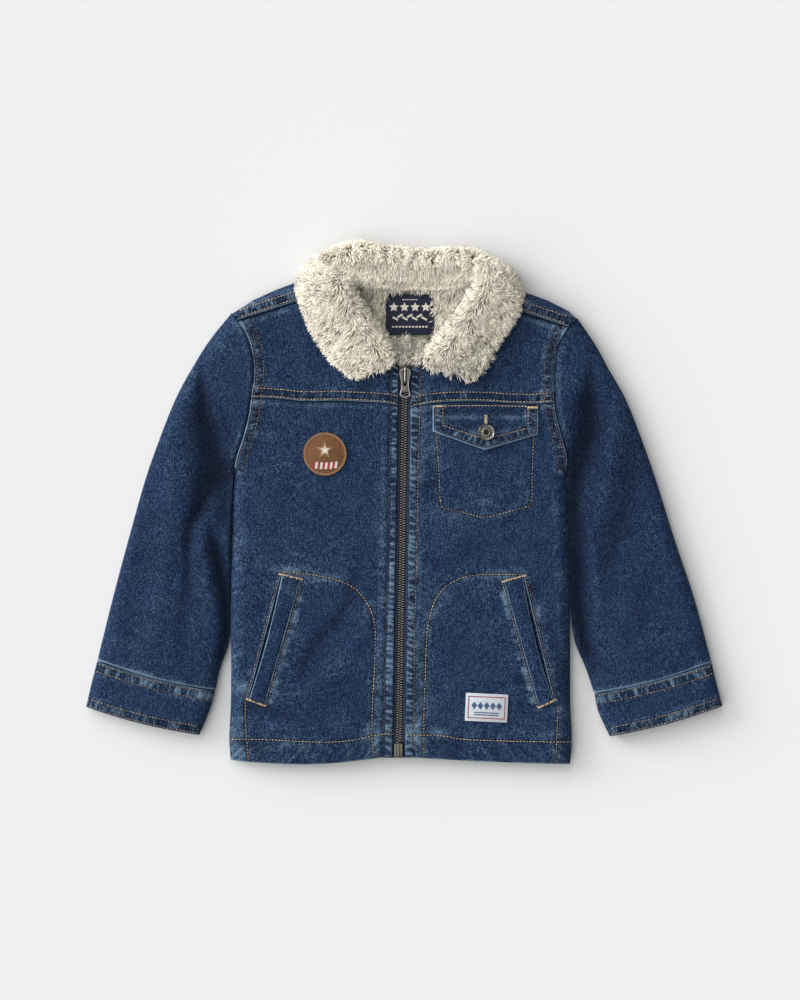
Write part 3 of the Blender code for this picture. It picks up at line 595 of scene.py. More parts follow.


# Indigo denim: a twill of dark warp and pale weft, slubs down the warp, faded where the
# wear attribute is high and darkened with painted shade where the shade attribute is.
def makeDenim():
    look, tree, shader = newLook("denim", denimLook["middle"], 0.88, specular=0.1, **{
        "Sheen Weight": 0.05, "Sheen Roughness": 0.5, "Sheen Tint": (0.4, 0.6, 0.9, 1)})
    grain = attribute(tree, "grain", "Vector")
    scale, spread = denimLook["fleck"], denimLook["spread"]
    turned = put(tree, "ShaderNodeMapping", {"Vector": grain, "Rotation": (0, 0, radians(63))}).outputs[0]
    flecks = noiseAt(tree, turned, scale, (0.75, 1.15, 0.6), detail=1.5)
    slubs = noiseAt(tree, grain, scale, (1.2, 0.2, 0.5), detail=1.5)
    wefts = noiseAt(tree, grain, scale, (0.22, 1.2, 0.5), detail=1.5)
    clouds = noiseAt(tree, grain, 60.0, detail=3.0, rough=0.6)
    twill = put(tree, "ShaderNodeTexWave", {"Vector": turned, "Scale": denimLook["twill"], "Distortion": 1.2,
                                            "Detail": 1.0, "Detail Scale": 2.0}).outputs["Fac"]
    tone = summed(tree, (flecks, 0.5), (slubs, 0.24), (wefts, 0.14), (clouds, 0.07), (twill, 0.05))
    dyed = ramped(tree, ranged(tree, tone, 0.5 - spread, 0.5 + spread),
                  ((0, denimLook["dark"]), (0.5, denimLook["middle"]), (1, denimLook["light"])))
    # wear shows on the raised threads first
    raised = put(tree, "ShaderNodeMath", {0: tone, 1: 0.5}, operation="SUBTRACT").outputs[0]
    speckle = times(tree, raised, 2.2)
    bare = summed(tree, (attribute(tree, "wear"), 1.15), (speckle, 1))
    colour = blended(tree, ranged(tree, bare, 0.12, how="SMOOTHSTEP"), dyed, denimLook["worn"])
    # painted shade: the shade attribute darkens the colour in ditches, folds, slits and under lapped edges
    shade = times(tree, attribute(tree, "shade"), 0.9)
    colour = blended(tree, shade, colour, denimLook["shaded"], "MULTIPLY")
    height = summed(tree, (twill, 0.35), (flecks, 0.5), (slubs, 0.6))
    paint(tree, shader, colour, height, denimLook["bump"], denimLook["bumpDeep"])
    return look


denim = makeDenim()
pieces = {}
bothSides = ((-1, "Right"), (1, "Left"))
print("denim made")


def atSeam(x):
    return float(seamY(x)) - 1.0


# sections from the armhole to the zip: foot on the yoke seam, head under the shoulder or collar
yokes = {
    -1: numbered((-137.5, 95.6, -149.9, atSeam(-149.9), 9), (-115, 94.6, -123, atSeam(-123), 6),
         (-90, 92.2, -95, atSeam(-95), 3), (-62, 92.5, -70, atSeam(-70), 0),
         (-38, 91.6, -44, 150, 0), (-20, 90.6, -22, 133, 0),
         (-5.2, 88.6, -4.7, 126, 0)),
    1: numbered((135, 91.2, 147.7, atSeam(147.7), -9), (115, 89.8, 122, atSeam(122), -6),
        (95, 90.2, 103, atSeam(103), -3), (74, 91.6, 88, atSeam(88), 0),
        (48, 91.8, 53, 150, 0), (24, 90.2, 30, 133, 0),
        (6, 86.6, 6.6, 126, 0)),
}


# The yoke seam, from the armhole to the zip.
def yokeFoot(side):
    keys = np.linspace(0, 6, 40)
    return np.column_stack([read(yokes[side], 1, keys), read(yokes[side], 2, keys)])


facing = {
    -1: pathOf(((-11.7, 124), (-11.7, 80.5), (-13.1, 29.2), (-13.5, -32.9), (-16.2, -112),
                (-18, -204.8), (-18, -229))),
    1: pathOf(((14.4, 124), (14.4, 87.8), (12.6, 24.8), (11.7, -32.9), (9.9, -112),
               (9, -204.8), (9, -229))),
}

frontRight = {
    "edges": numbered(
        (-231, -227.3, 5.5), (-212, -208.5, 4), (-150, -150, 0),
        (-60, -60, 0), (20, 15, 0), (40, 36, 0),
        (58, 54, 0), (78, 71, 0), (97.8, 90.8, 0),
    ),
    "hemRow": ((-158.5, -212), (-124.2, -212.4), (-99, -213.8), (-68.4, -214.7),
               (-45.9, -212.8), (-28.8, -209.2), (-18, -207.5), (-6, -207.5)),
    "pocketArc": ((-109.8, -61.2), (-88.2, -63.5), (-68.4, -67), (-48.6, -73.8), (-36.9, -84.2),
                  (-28.8, -98.5), (-26.1, -112), (-26.1, -138.2), (-27.9, -171.5),
                  (-28.8, -197.6), (-28.8, -210.2), (-27.1, -229.2)),
    "pocketSide": ((-142.7, -177.8), (-142.2, -202.1), (-140, -230.4)),
    "creases": ((-148, -30, -110, -38, 8, 0.7), (-60, 8, -24, -30, 12, 0.8),
                (-140, 10, -96, -14, 9, -0.6)),
    "folds": (
        ((-36, -46, 5, 0.5), (-44, -74, 6, 1), (-57, -104, 7.5, 1.7),
         (-78, -130, 8.5, 1.7), (-90, -152, 7, 0.9)),
        ((-72, -176, 12, 0.9), (-48, -172, 12, 1.1), (-32, -188, 8, 0.8)),
        ((-142, -183, 2.6, 1.2), (-112, -189, 3, 1.5), (-88, -197, 3.4, 0.9)),
        ((-150, -214, 3, 1), (-126, -221, 3, 0.6)),
        ((-147, -142, 3.2, 1.2), (-139, -146, 3, 1)),
        ((-130, -93, 3, 1), (-122, -95, 3, 0.8)),
        ((-96, -46, 3.5, -1.4), (-52, -60, 4, -1)),
        ((-30, -92, 5, -0.9), (-38, -120, 7, -0.9), (-62, -152, 9, -0.5)),
        ((-118, -202, 5, -1.4), (-78, -206, 4, -0.8)),
    ),
    "fades": ((-148, -166, 7, 9, 0.3), (-140, -200, 13, 9, 0.26), (-95, -76, 4, 6, 0.24),
              (-104, -60, 16, 4.5, 0.28), (-68, -67, 20, 4.5, 0.24), (-16, 10, 7, 15, 0.22),
              (-21, -40, 6, 14, 0.14), (-16, -80, 8, 20, 0.26), (-20, -126, 8, 20, 0.14),
              (-17, -164, 8, 24, 0.22), (-32, -205, 6, 7, 0.3), (-146, 0, 6, 40, 0.08),
              (-92, -52, 46, 30, 0.15), (-102, -140, 20, 42, 0.16), (-60, 10, 40, 20, 0.03),
              (-118, -156, 5, 8, 0.22), (-150, -222, 12, 7, 0.1), (-108, -216, 20, 7, 0.14)),
}
frontLeft = {
    "edges": numbered(
        (-234.6, -228.2, 1), (-214.5, -208.5, 1.5), (-150, -150, 0),
        (-60, -60, 0), (20, 15, 0), (40, 36, 0),
        (58, 54, 0), (76, 71, 0), (93.4, 88.6, -3),
    ),
    "hemRow": ((1.8, -208.3), (18, -208.3), (36, -209.2), (52.2, -212), (97.2, -213.8),
               (152, -214.7)),
    "pocketArc": ((108.5, -64.4), (90.9, -63.9), (71.1, -63.9), (52.2, -67), (39.1, -73.8),
                  (29.7, -84.2), (24.3, -97.7), (20.7, -117.5), (19.8, -138.2), (18.9, -165.2),
                  (18, -191.2), (18, -228.2)),
    "pocketSide": ((138.6, -182.2), (137.7, -204.8), (136.8, -233)),
    "pocketBag": ((28.8, 64), (30.6, 41.9), (31.5, 24.8), (32.9, -0.5), (34.5, -3.6), (69.3, -12.2),
                  (76.5, -12.2), (113.5, -2), (115, 5), (115.6, 33.8), (116.5, 61)),
    "creases": ((120, -20, 70, -30, 12, 0.6), (60, -120, 34, -170, 12, 0.6),
                (30, -90, 60, -96, 10, -0.7), (142, 24, 118, 8, 7, 0.8)),
    "folds": (
        ((82, -32, 6, 0.4), (56, -48, 7, 1.1), (30, -60, 6, 0.6)),
        ((26, -66, 4, 0.6), (12, -72, 3, 0.9)),
        ((28, 15, 3.5, 0.9), (14, 15, 3, 1.1)),
        ((116, -76, 4, 1.2), (121, -80, 4, 1.2)),
        ((134, -112, 4.5, 0.9), (142, -138, 5.5, 1), (145, -162, 5, 0.9)),
        ((108, -118, 3, 0.9), (112, -122, 3, 0.8)),
        ((104, -158, 3.4, 1.2), (112, -162, 3.4, 1.1)),
        ((106, -181, 3, 1.2), (118, -182, 3, 1.2)),
        ((30, -215, 4, 1), (52, -218, 4, 0.8)),
        ((84, -206, 3, 0.4), (85, -220, 4.5, 1)),
        ((104, -219, 3, 0.8), (112, -224, 3, 0.8)),
        ((24, -100, 5, -0.7), (46, -82, 6, -0.6)),
        ((28, -6, 4, -1.1), (58, -13, 4, -0.9), (84, -14, 4, -1.1), (116, 6, 4, -1.1)),
    ),
    "fades": ((10, -202, 6, 12, 0.3), (10, 30, 7, 16, 0.08), (10, 0, 6, 12, 0.16),
              (24, 10, 20, 60, 0.1), (26, -80, 18, 60, 0.08), (28, -190, 20, 46, 0.1),
              (70, -4, 50, 12, 0.12), (88, -96, 50, 60, 0.07),
              (8, -50, 5, 16, 0.2), (8, -120, 5, 20, 0.26), (30, -206, 6, 5, 0.34),
              (88, -64, 22, 5, 0.28), (55, -68, 8, 3.5, 0.2), (92, -84, 4, 6, 0.26),
              (108, -58, 10, 5, 0.22), (120, -96, 5, 9, 0.22), (104, -134, 4, 12, 0.18),
              (106, -150, 4, 5, 0.16), (133, -186, 12, 3, 0.18), (111, 10, 5, 6, 0.2),
              (60, -206, 24, 5, 0.16), (120, -206, 22, 5, 0.14), (28, 60, 6, 20, 0.16)),
}
fronts = {-1: frontRight, 1: frontLeft}
# corners of the pocket windows: slit side from the bottom to the top, then the inner side
welts = {
    -1: {"slit": ((-139.5, -176.5), (-109.8, -64.0)), "inner": ((-126.2, -181.4), (-93.6, -68.0))},
    1: {"slit": ((134.4, -177.5), (107.0, -65.5)), "inner": ((122.4, -183.0), (90.9, -69.8))},
}


def facingRelief(relief, x, y, side, seed):
    path = facing[side]
    fromZip = np.abs(x - zipX(y)) - cloth["zipSlot"]
    d, _, _ = fromPath(x, y, path)
    inside = np.abs(x - zipX(y)) < np.abs(read([(-p[1], p[0]) for p in path], 1, -y) - zipX(y))
    zone = inside * step(fromZip, 0.3, 1.6) * step(d, 0.5, 2.0)
    ticks = puckers(y + 0.35 * fromZip, fromZip / 3.4, 3.3, seed)
    patches = patchy(y, fromZip / 10, 17.0, seed + 1)
    ribs = ridges(y, fromZip - 3, 5.2, 0.85, seed + 60, -0.2 * side)**0.7
    relief.z += ((0.25 * ticks + 0.75 * ribs) * zone - 1.0 * (1 - rounded(fromZip, 1.3))
                 - 0.5 * bump(d, 1.1))
    worn = 1.2 * ribs * (0.65 + 0.35 * patches) + 0.3 * crests(ticks) * patches + 0.06
    relief.wear += zone * worn * mix(1.0, 0.78, step(y, -40, 10))
    relief.wear += 0.4 * bump(fromZip - 0.6, 0.7) * patches
    # painted shade between the ridges and along the row of stitching
    relief.shade += zone * (0.04 + (0.42 + 0.16 * step(y, -20, 40)) * (1 - ribs)) + 0.42 * bump(d, 1.0)
    outer = ~inside
    ridge = bump(d - 4.2, 3.2) * outer
    ripples = puckers(y - 0.5 * d, d / 4, 4.2, seed + 2)
    relief.z += ridge * (0.45 + 0.3 * ripples) + 0.25 * ripples * outer * bump(d, 4.0)
    streaks = ridges(y - 0.3 * d, d - 4, 4.4, 1.0, seed + 61, 0.3 * side)
    relief.z += 0.28 * streaks * bump(d - 4, 4.0) * outer
    relief.wear += outer * bump(d - 4.5, 4.6) * (0.03 + 0.36 * patches * (0.15 + 0.85 * streaks))
    # painted shade in the hollows of the ripples
    relief.shade += 0.35 * outer * bump(d - 1.5, 2.0) * np.maximum(-ripples, 0)


# The lip of a pocket window: the panel is folded back along it and stitched.
def windowRelief(relief, x, y, side, seed):
    for edge, outward in (("slit", side), ("inner", -side)):
        path = pathOf(welts[side][edge])
        d, run, where = fromPath(x, y, path)
        out = where == -outward
        ends = step(run, 0.5, 4.0) * (1 - step(run, run.max() - 4.0, run.max() - 0.5))
        ticks = lumps(run, d / 3.2, 3.2, seed)
        patches = patchy(run, d / 5, 9.0, seed + 1)
        relief.z += ends * out * (0.7 * bump(d, 4.0) - 0.45 * bump(d - 2.6, 1.0)
                                  + 0.34 * ticks * bump(d - 4.5, 3.4))
        relief.z -= 1.0 * ends * ~out * step(7.0 - d, 0.0, 2.0)
        amount = 0.65 if edge == "inner" else 0.3
        worn = np.clip(0.12 + ticks * 0.45 + patches * 0.45, 0, 1)
        relief.wear += amount * ends * out * bump(d - 5.2, 3.2) * worn
        # painted shade inside the slit and in the ditch of the stitching beside it
        relief.shade += ends * ~out * 0.9 * (d < 8) + ends * out * 0.45 * bump(d - 2.6, 0.9)
        seed += 5


# The turned-up hem: slanted ropes of cloth between the row of stitching and the bottom edge.
def hemRelief(relief, x, y, hemRow, seed):
    bottom = np.column_stack([x[0], y[0]])[::3]
    d, run, _ = fromPath(x, y, bottom)
    hemAway, _, _ = fromPath(x, y, hemRow)
    band = (1 - step(d, 15.0, 18.0)) * (d + hemAway < 24)
    roping = ridges(run, d - 8, 9.0, 2.2, seed, slant=0.9)
    patches = patchy(run, d, 12.0, seed + 1)
    relief.z += band * (0.55 * roping - 0.2) - 0.45 * bump(hemAway - 1.0, 1.0) * band
    relief.wear += band * (0.34 * roping * (0.3 + 0.7 * patches))
    relief.wear += 0.6 * bump(d - 0.4, 0.9) * (0.4 + 0.6 * patches)
    # painted shade between the ropes and along the ditch of the hem's stitching
    relief.shade += band * (0.1 + 0.2 * (1 - roping) * bump(hemAway, 5.0))
    relief.shade += 0.4 * bump(hemAway - 1.0, 0.8) * band


# Height of a front panel's face before its relief.
def faceOf(x, y):
    return np.maximum(bodyTop(x, y), cloth["middle"] + cloth["thinEdge"] + 0.2)


def makeFront(word, side, seed):
    facts = fronts[side]
    edges = facts["edges"]

    def place(share, row):
        sideAt, centreAt = read(edges, 1, row), read(edges, 2, row)
        x = mix(sideX(sideAt, side), zipX(centreAt) + side * cloth["zipSlot"], share)
        return x, mix(sideAt, centreAt, share) - read(edges, 3, row) * np.sin(pi * share)

    share, row = np.meshgrid(shares(cloth["frontWide"], cloth["cell"]), evenKeys(8, place, cloth["cell"]))
    x, y = place(share, row)
    relief = newRelief(x)
    aboveHem = row * (edges[1][1] - edges[0][1])
    relief.z += mix(cloth["panelLow"], faceOf(x, y), mix(0.55, 1.0, rounded(aboveHem, 4.0)))
    armholePath = pathOf([(float(sideX(level, side)), level) for level in np.linspace(29, y.max(), 12)])
    lappedEdge(relief, x, y, armholePath, seed, "armhole", stop=lambda px, py: step(py, 22.0, 30.0))
    foot = yokeFoot(side)
    tuckedEdge(relief, x, y, foot, seed + 3, 0.3)
    away, _, where = fromPath(x, y, foot)
    relief.z -= 1.0 * step(away, 0.2, 1.4) * (where == -side)
    facingRelief(relief, x, y, side, seed + 6)
    stitchedLine(relief, x, y, pathOf(facts["pocketArc"]), seed + 10, 0.35, 0.35)
    stitchedLine(relief, x, y, pathOf(facts["pocketSide"]), seed + 12, 0.4, 0.4)
    windowRelief(relief, x, y, side, seed + 14)
    if "pocketBag" in facts:
        stitchedLine(relief, x, y, pathOf(facts["pocketBag"], smooth=False), seed + 24, 0.2, 0.2)
    hemRow = pathOf(facts["hemRow"])
    stitchedLine(relief, x, y, hemRow, seed + 26, 0.45, 0.4, reach=4.5)
    hemRelief(relief, x, y, hemRow, seed + 28)
    fromSeam = np.abs(x - sideX(y, side))
    welted = (1 - step(fromSeam, 11.0, 15.0)) * (y < 20)
    seamRibs = ridges(y, fromSeam - 6, 8.0, 1.6, seed + 33, slant=-0.5 * side)
    relief.z += 0.4 * welted * seamRibs
    relief.wear += welted * (0.16 + 0.28 * seamRibs) * (0.4 + 0.6 * lumps(y, fromSeam, 30.0, seed + 34))
    creased(relief, x, y, facts["creases"], seed + 30)
    folded(relief, x, y, facts["folds"], seed + 35)
    faded(relief, x, y, facts["fades"])
    uneven(relief, x, y, seed + 40)
    attach(clothFace("front" + word, x, y, relief), "front_" + word.lower())


for side, word in bothSides:
    makeFront(word, side, 150 + 50 * side)
print("fronts made")


yokeCreases = {
    -1: ((-118, 170, -96, 120, 8, 0.8), (-62, 140, -80, 104, 10, 0.7)),
    1: ((118, 168, 100, 118, 9, 0.8), (60, 120, 100, 112, 8, 0.9)),
}


def makeYoke(word, side, seed):
    table = yokes[side]

    def place(share, key):
        ax, ay = read(table, 1, key), read(table, 2, key)
        bx, by, bow = (read(table, column, key, smooth=False) for column in (3, 4, 5))
        bow, length = bow * np.sin(pi * share), np.hypot(bx - ax, by - ay)
        x = mix(ax, bx, share) + bow * (by - ay) / length
        y = mix(ay, by, share) - bow * (bx - ax) / length
        return np.where(key == 0, sideX(y, side), x), y

    share, key = np.meshgrid(shares(cloth["yokeTall"], cloth["cell"]),
                             shares(cloth["yokeWide"], cloth["cell"]) * 6)
    x, y = place(share, key)
    relief = newRelief(x)
    relief.z += faceOf(x, y)
    lappedEdge(relief, x, y, np.column_stack([x[:, 0], y[:, 0]])[::4], seed, wear=0.65, edgeWear=1.25)
    lappedEdge(relief, x, y, np.column_stack([x[0], y[0]])[::4], seed + 3, "armhole")
    shoulder = np.linspace(-149.9, -60, 12) if side < 0 else np.linspace(147.7, 80, 12)
    tuckedEdge(relief, x, y, pathOf([(px, atSeam(px)) for px in shoulder]), seed + 6, 0.3)
    facingRelief(relief, x, y, side, seed + 9)
    creased(relief, x, y, yokeCreases[side], seed + 12)
    uneven(relief, x, y, seed + 20)
    attach(clothFace("yoke" + word, x, y, relief), "yoke_" + word.lower())


for side, word in bothSides:
    makeYoke(word, side, 350 + 50 * side)
print("yokes made")


# The back comes over the shoulders to the seam in front of them.
back = {
    "rows": numbered((-229, 0), (-211, 0), (-130, 0), (-40, 0), (22, 0),
             (40, 0), (58, 0), (78, 0), (98, 0.2), (118, 0.4),
             (138, 0.7), (150, 0.88), (157.5, 0.97)),
    "wide": 300.0, "strip": 14.0, "last": 12, "seamRow": 13, "foldRow": 15,
    "seamEnds": (-149.3, 147.7), "foldEnds": (-155.1, 155.6),
}


def makeBack(seed):
    last, seamRow, foldRow = back["last"], back["seamRow"], back["foldRow"]
    share, row = np.meshgrid(
        shares(back["wide"], 1.5),
        np.concatenate([np.linspace(0, last, 25), [seamRow - 0.02],
                        seamRow + shares(back["strip"], 1.25) * (foldRow - seamRow)]))
    level = read(back["rows"], 1, np.minimum(row, last))
    left, right = sideX(level, -1), sideX(level, 1)
    x = mix(left, right, share)
    line = mix(seamY(left), seamY(right), share)
    y = level + read(back["rows"], 2, np.minimum(row, last)) * (seamY(x) - line)
    up = (row - seamRow) / (foldRow - seamRow)
    stripX = mix(mix(*back["seamEnds"], share), mix(*back["foldEnds"], share), up)
    stripY = mix(seamY(stripX), foldY(stripX), up)
    strip = row > last + 0.5
    x, y = np.where(strip, stripX, x), np.where(strip, stripY, y)
    neck = (x > cloth["neckRight"]) & (x < cloth["neckLeft"])
    seen = (row >= seamRow) & ~neck
    relief = newRelief(x)
    for start, end in ((back["seamEnds"][0], -62), (80, back["seamEnds"][1])):
        path = pathOf([(px, float(seamY(px))) for px in np.linspace(start, end, 14)])
        lappedEdge(relief, x, y, path, seed, "shoulder")
        seed += 4
    for start, end in ((back["foldEnds"][0], -62), (80, back["foldEnds"][1])):
        path = pathOf([(px, float(foldY(px))) for px in np.linspace(start, end, 20)], smooth=False)
        d, run, _ = fromPath(x, y, path)
        relief.wear += 0.3 * bump(d - 2, 3) * patchy(run, d / 4, 9, seed)
    uneven(relief, x, y, seed + 9, broad=0.2)
    relief.z = np.where(
        seen, np.maximum(bodyTop(x, y), 8.7) + relief.z * rounded(edgeDistance(x, y) - 0.6, 6),
        cloth["middle"] - 0.2)
    fall = cloth["middle"] * (1 - rounded(edgeDistance(x, y), cloth["edgeRound"]))
    low = np.minimum(fall, cloth["middle"] - cloth["thinEdge"] - 0.2)
    attach(closedCloth("backPanel", x, y, relief, low, denim), "back")


makeBack(500)
print("back made")


# Sleeves and cuffs are flattened tubes, finer above than below. Each row has the place of
# the outer edge and of the inner edge, how far the row bows between them, and its height.
sleeves = {
    -1: {
        "rows": numbered((-154.9, 171.6, -154.6, 27, 1, 15), (-174.6, 147.2, -154.7, 6, 0.75, 14.6),
                 (-191.7, 120.2, -155.1, -15, 0.5, 14.4), (-206.1, 93.2, -155.5, -39, 0.3, 14.2),
                 (-220.5, 57.2, -155.9, -64, 0.15, 14), (-233.1, 21.2, -156.3, -90.5, 0.05, 13.8),
                 (-248.4, -32.9, -157.4, -123, 0, 13.4), (-262.8, -86.9, -165.5, -147.5, 0, 13),
                 (-276.3, -141.6, -170.1, -168.6, 0, 12.6)),
        "folds": (
            ((-183, 126, 3, 0.6), (-181, 104, 5.5, 3), (-179, 80, 10, 4.6),
             (-173, 52, 15, 5), (-174, 22, 13.5, 5), (-182, 0, 9, 4.6),
             (-193, -25, 5.5, 3.2), (-193, -60, 5, 2), (-197, -100, 7, 1),
             (-196, -140, 8, 0.5)),
            ((-174, -18, 3.5, 1), (-168, -45, 7.5, 4.6), (-162, -72, 8.5, 5),
             (-159, -110, 5.5, 4.8), (-163, -135, 4.5, 4.2), (-168, -156, 5, 2)),
            ((-160, 32, 7, 1.6), (-160, -14, 8, 1.6)),
            ((-180, -32, 4.5, -0.6), (-175, -62, 6, -1), (-174, -100, 7, -0.7),
             (-178, -138, 7, -0.3)),
            ((-178, 112, 4, -0.5), (-162, 62, 4.5, -0.9)),
            ((-222, 50, 8, 0.3), (-242, -50, 8, 0.6), (-250, -104, 10, 0.5)),
            ((-205, 80, 8, -0.7), (-212, 0, 10, -1.4), (-218, -70, 10, -1.3),
             (-226, -118, 9, -0.8)),
        ),
        "axis": (-68, -253),
        "fades": ((-168, 138, 12, 16, 0.1), (-190, 122, 9, 12, 0.12),
                  (-262, -70, 6, 60, 0.08)),
    },
    1: {
        "rows": numbered((155, 167.2, 147, 25, 1, 15), (171.9, 142.7, 147, 4, 0.75, 14.6),
                 (184.5, 120.2, 147.9, -18.5, 0.5, 14.4), (199.8, 93.2, 148.6, -42, 0.3, 14.2),
                 (214.2, 57.2, 149.4, -69, 0.15, 14), (226.9, 21.2, 150.2, -97, 0.05, 13.8),
                 (244, -32.9, 153.8, -124, 0, 13.4), (261.9, -86.9, 163.6, -148.1, 0, 13),
                 (277.2, -143.4, 171.5, -171.3, 0, 12.6)),
        "folds": (
            ((170, 124, 4.5, 1.2), (168, 95, 10.5, 4.2), (166, 60, 13.5, 5.2),
             (158, 34, 12, 5.2), (154, 15, 11.5, 5), (154, -20, 11.5, 4.8),
             (156, -60, 11, 5), (157, -90, 9.5, 5), (163, -125, 7.5, 4.6),
             (172, -150, 8, 2)),
            ((205, 80, 7, 0.8), (206, 30, 13, 2), (196, -20, 16, 2),
             (186, -56, 9, 1.6), (190, -72, 7, 0.4)),
            ((222, -60, 8, 0.5), (216, -115, 10, 0.9)),
            ((192, 84, 4.5, -0.4), (186, 22, 6, -0.7), (176, -20, 6, -0.4)),
            ((162, 4, 3.5, -0.5), (171, -40, 4, -0.7), (178, -112, 6, -0.6)),
        ),
        "axis": (75, -253),
        "fades": ((164, 140, 8, 16, 0.1), (200, 92, 10, 14, 0.07),
                  (256, -92, 10, 30, 0.07)),
    },
}
cuffs = {
    -1: numbered((-276.5, -142.2, -170.3, -169.2, -2.8, 13.4), (-281.6, -162.5, -175, -185.5, -2.5, 13.4),
         (-286.4, -183.2, -184.5, -208.4, -2.6, 13)),
    1: numbered((277.4, -144, 171.7, -171.9, -2.8, 13.4), (281.4, -161.5, 175.5, -188.5, -2.5, 13.4),
        (287.1, -182.3, 185.4, -209.7, -2.6, 13)),
}


def tubePlan(table, side, key, share, armhole):
    ox, oy, ix, iy, bulge = (read(table, column, key) for column in (1, 2, 3, 4, 5))
    x, y = mix(ox, ix, share), mix(oy, iy, share)
    if not armhole:
        return x, y + bulge * np.sin(pi * share)
    startY = mix(table[0][2], table[0][4], share)
    curve = sideX(startY, side) + side * 0.3 - mix(table[0][1], table[0][3], share)
    nearCuff = np.clip(key - len(table) + 2, 0, 1) ** 2
    return x + bulge * curve, y - cloth["cuffBow"] * nearCuff * np.sin(pi * share)


# One end of a tube, as a path across its upper side.
def tubeEnd(table, side, key, armhole):
    return np.column_stack(tubePlan(table, side, np.full(60, float(key)), np.linspace(0, 1, 60), armhole))


# cell, wall, and how far the inner wall goes back into each end
tubes = {"sleeve": (1.55, 5.8, (6.0, 6.0)), "cuff": (1.15, 5.6, (4.0, 24.0))}


# A flattened tube with its walls' thickness; dress gives the upper side its relief.
def makeTube(kind, word, side, table, dress):
    (cell, wall, ends), armhole = tubes[kind], kind == "sleeve"
    last, length = len(table) - 1, np.hypot(table[-1][1] - table[0][1], table[-1][2] - table[0][2])
    keys = evenKeys(last, lambda share, key: tubePlan(table, side, key, share, armhole), cell)
    over, under = shares(cloth["sleeveWide"], cell), 0.5 + 0.5 * np.cos(np.linspace(0, pi, 22))[1:]
    above = np.concatenate([np.ones(len(over)), -np.ones(len(under))])
    above[-1] = 1
    rows = np.concatenate([[ends[0] / length * last, 0], keys, [last, last - ends[1] / length * last]])
    share, key = np.meshgrid(np.concatenate([over, under]), rows)
    up, inside = np.meshgrid(above > 0, [True, True, *[False] * len(keys), True, True])
    ox, oy, ix, iy = (read(table, column, key) for column in (1, 2, 3, 4))
    span = np.hypot(ix - ox, iy - oy)
    inset = np.where(inside, wall / span, 0.0)
    held = mix(inset, 1 - inset, share)
    x, y = tubePlan(table, side, key, held, armhole)
    fromEdge = np.minimum(held - inset, 1 - inset - held) * span
    relief = newRelief(x)
    dress(relief, x, y, share)
    height = np.where(up, read(table, 6, key) - cloth["middle"] + relief.z, -cloth["middle"])
    height = np.where(inside, np.sign(height) * np.maximum(0.5, np.abs(height) - wall), height)
    piece = addGrid(kind + word, x.shape[1], x.shape[0])
    radius = np.where(inside, cloth["thinEdge"], cloth["edgeRound"])
    setPlaces(piece, x, y, cloth["middle"] + height * rounded(fromEdge, radius))
    ax, ay = sleeves[side]["axis"]
    axis = hypot(ax, ay)
    giveGrain(piece, (x * -ay + y * ax) / axis, (x * ax + y * ay) / axis)
    # the inner walls at each end get painted shade
    giveWear(piece, relief.wear * (up & ~inside), np.where(inside, 0.7, relief.shade * up))
    closeMesh(merge=0.00001)
    giveLook(piece, denim, 60)
    attach(piece, kind + "_" + word.lower())


# A tube stands highest a little to one side of its middle.
def tubeCrown(share, side):
    return np.sin(pi * np.clip(share if side < 0 else 1 - share, 0, 1) ** 0.8)


def makeSleeve(word, side, seed):
    facts = sleeves[side]
    table = facts["rows"]
    start, end = tubeEnd(table, side, 0, True), tubeEnd(table, side, 8, True)

    def dress(relief, x, y, share):
        relief.z += 1.9 * tubeCrown(share, side) - 0.6
        tuckedEdge(relief, x, y, start, seed, 0.24)
        d, run, _ = fromPath(x, y, end)
        relief.z -= 0.8 * bump(d, 1.2)
        relief.wear += (0.8 * bump(d - 1.3, 0.8)
                        + 0.3 * bump(d - 3.2, 2.4) * patchy(run, d / 5, 8.0, seed + 3))
        # painted shade in the gap where the sleeve meets its cuff
        relief.shade += 0.9 * bump(d, 0.55)
        folded(relief, x, y, facts["folds"], seed + 5)
        faded(relief, x, y, facts["fades"])
        uneven(relief, x, y, seed + 20, broad=0.5)

    makeTube("sleeve", word, side, table, dress)


def makeCuff(word, side, seed):
    table = cuffs[side]
    start, end = tubeEnd(table, side, 0, False), tubeEnd(table, side, 2, False)

    def dress(relief, x, y, share):
        relief.z += 0.8 * tubeCrown(share, side)
        lappedEdge(relief, x, y, start, seed, "cuffTop", 0.8, edgeWear=0.7, slant=0.0, blobs=0.55)
        lappedEdge(relief, x, y, end, seed + 4, "cuffEnd", 0.7, edgeWear=0.5, blobs=0.35)
        uneven(relief, x, y, seed + 8, broad=0.5, fine=0.2)

    makeTube("cuff", word, side, table, dress)


for side, word in bothSides:
    makeSleeve(word, side, 650 + 50 * side)
    makeCuff(word, side, 700 + 50 * side)
print("sleeves and cuffs made")


flap = {
    "left": 25.8, "right": 120.8, "point": 73.0, "foot": (64.6, 47.9, 62.1), "head": 88.4,
    "thick": 2.0, "topRow": 87.2, "wide": 95.0, "tall": 30.0, "cell": 1.2, "pointShare": 0.4968,
    "fades": ((28.0, 64.0, 4.5, 5.0, 0.55), (114.0, 66.0, 5.0, 4.0, 0.4), (73.0, 51.0, 5.0, 3.0, 0.3),
              (30.0, 78.0, 3.0, 8.0, 0.24), (118.0, 76.0, 2.5, 8.0, 0.22)),
}


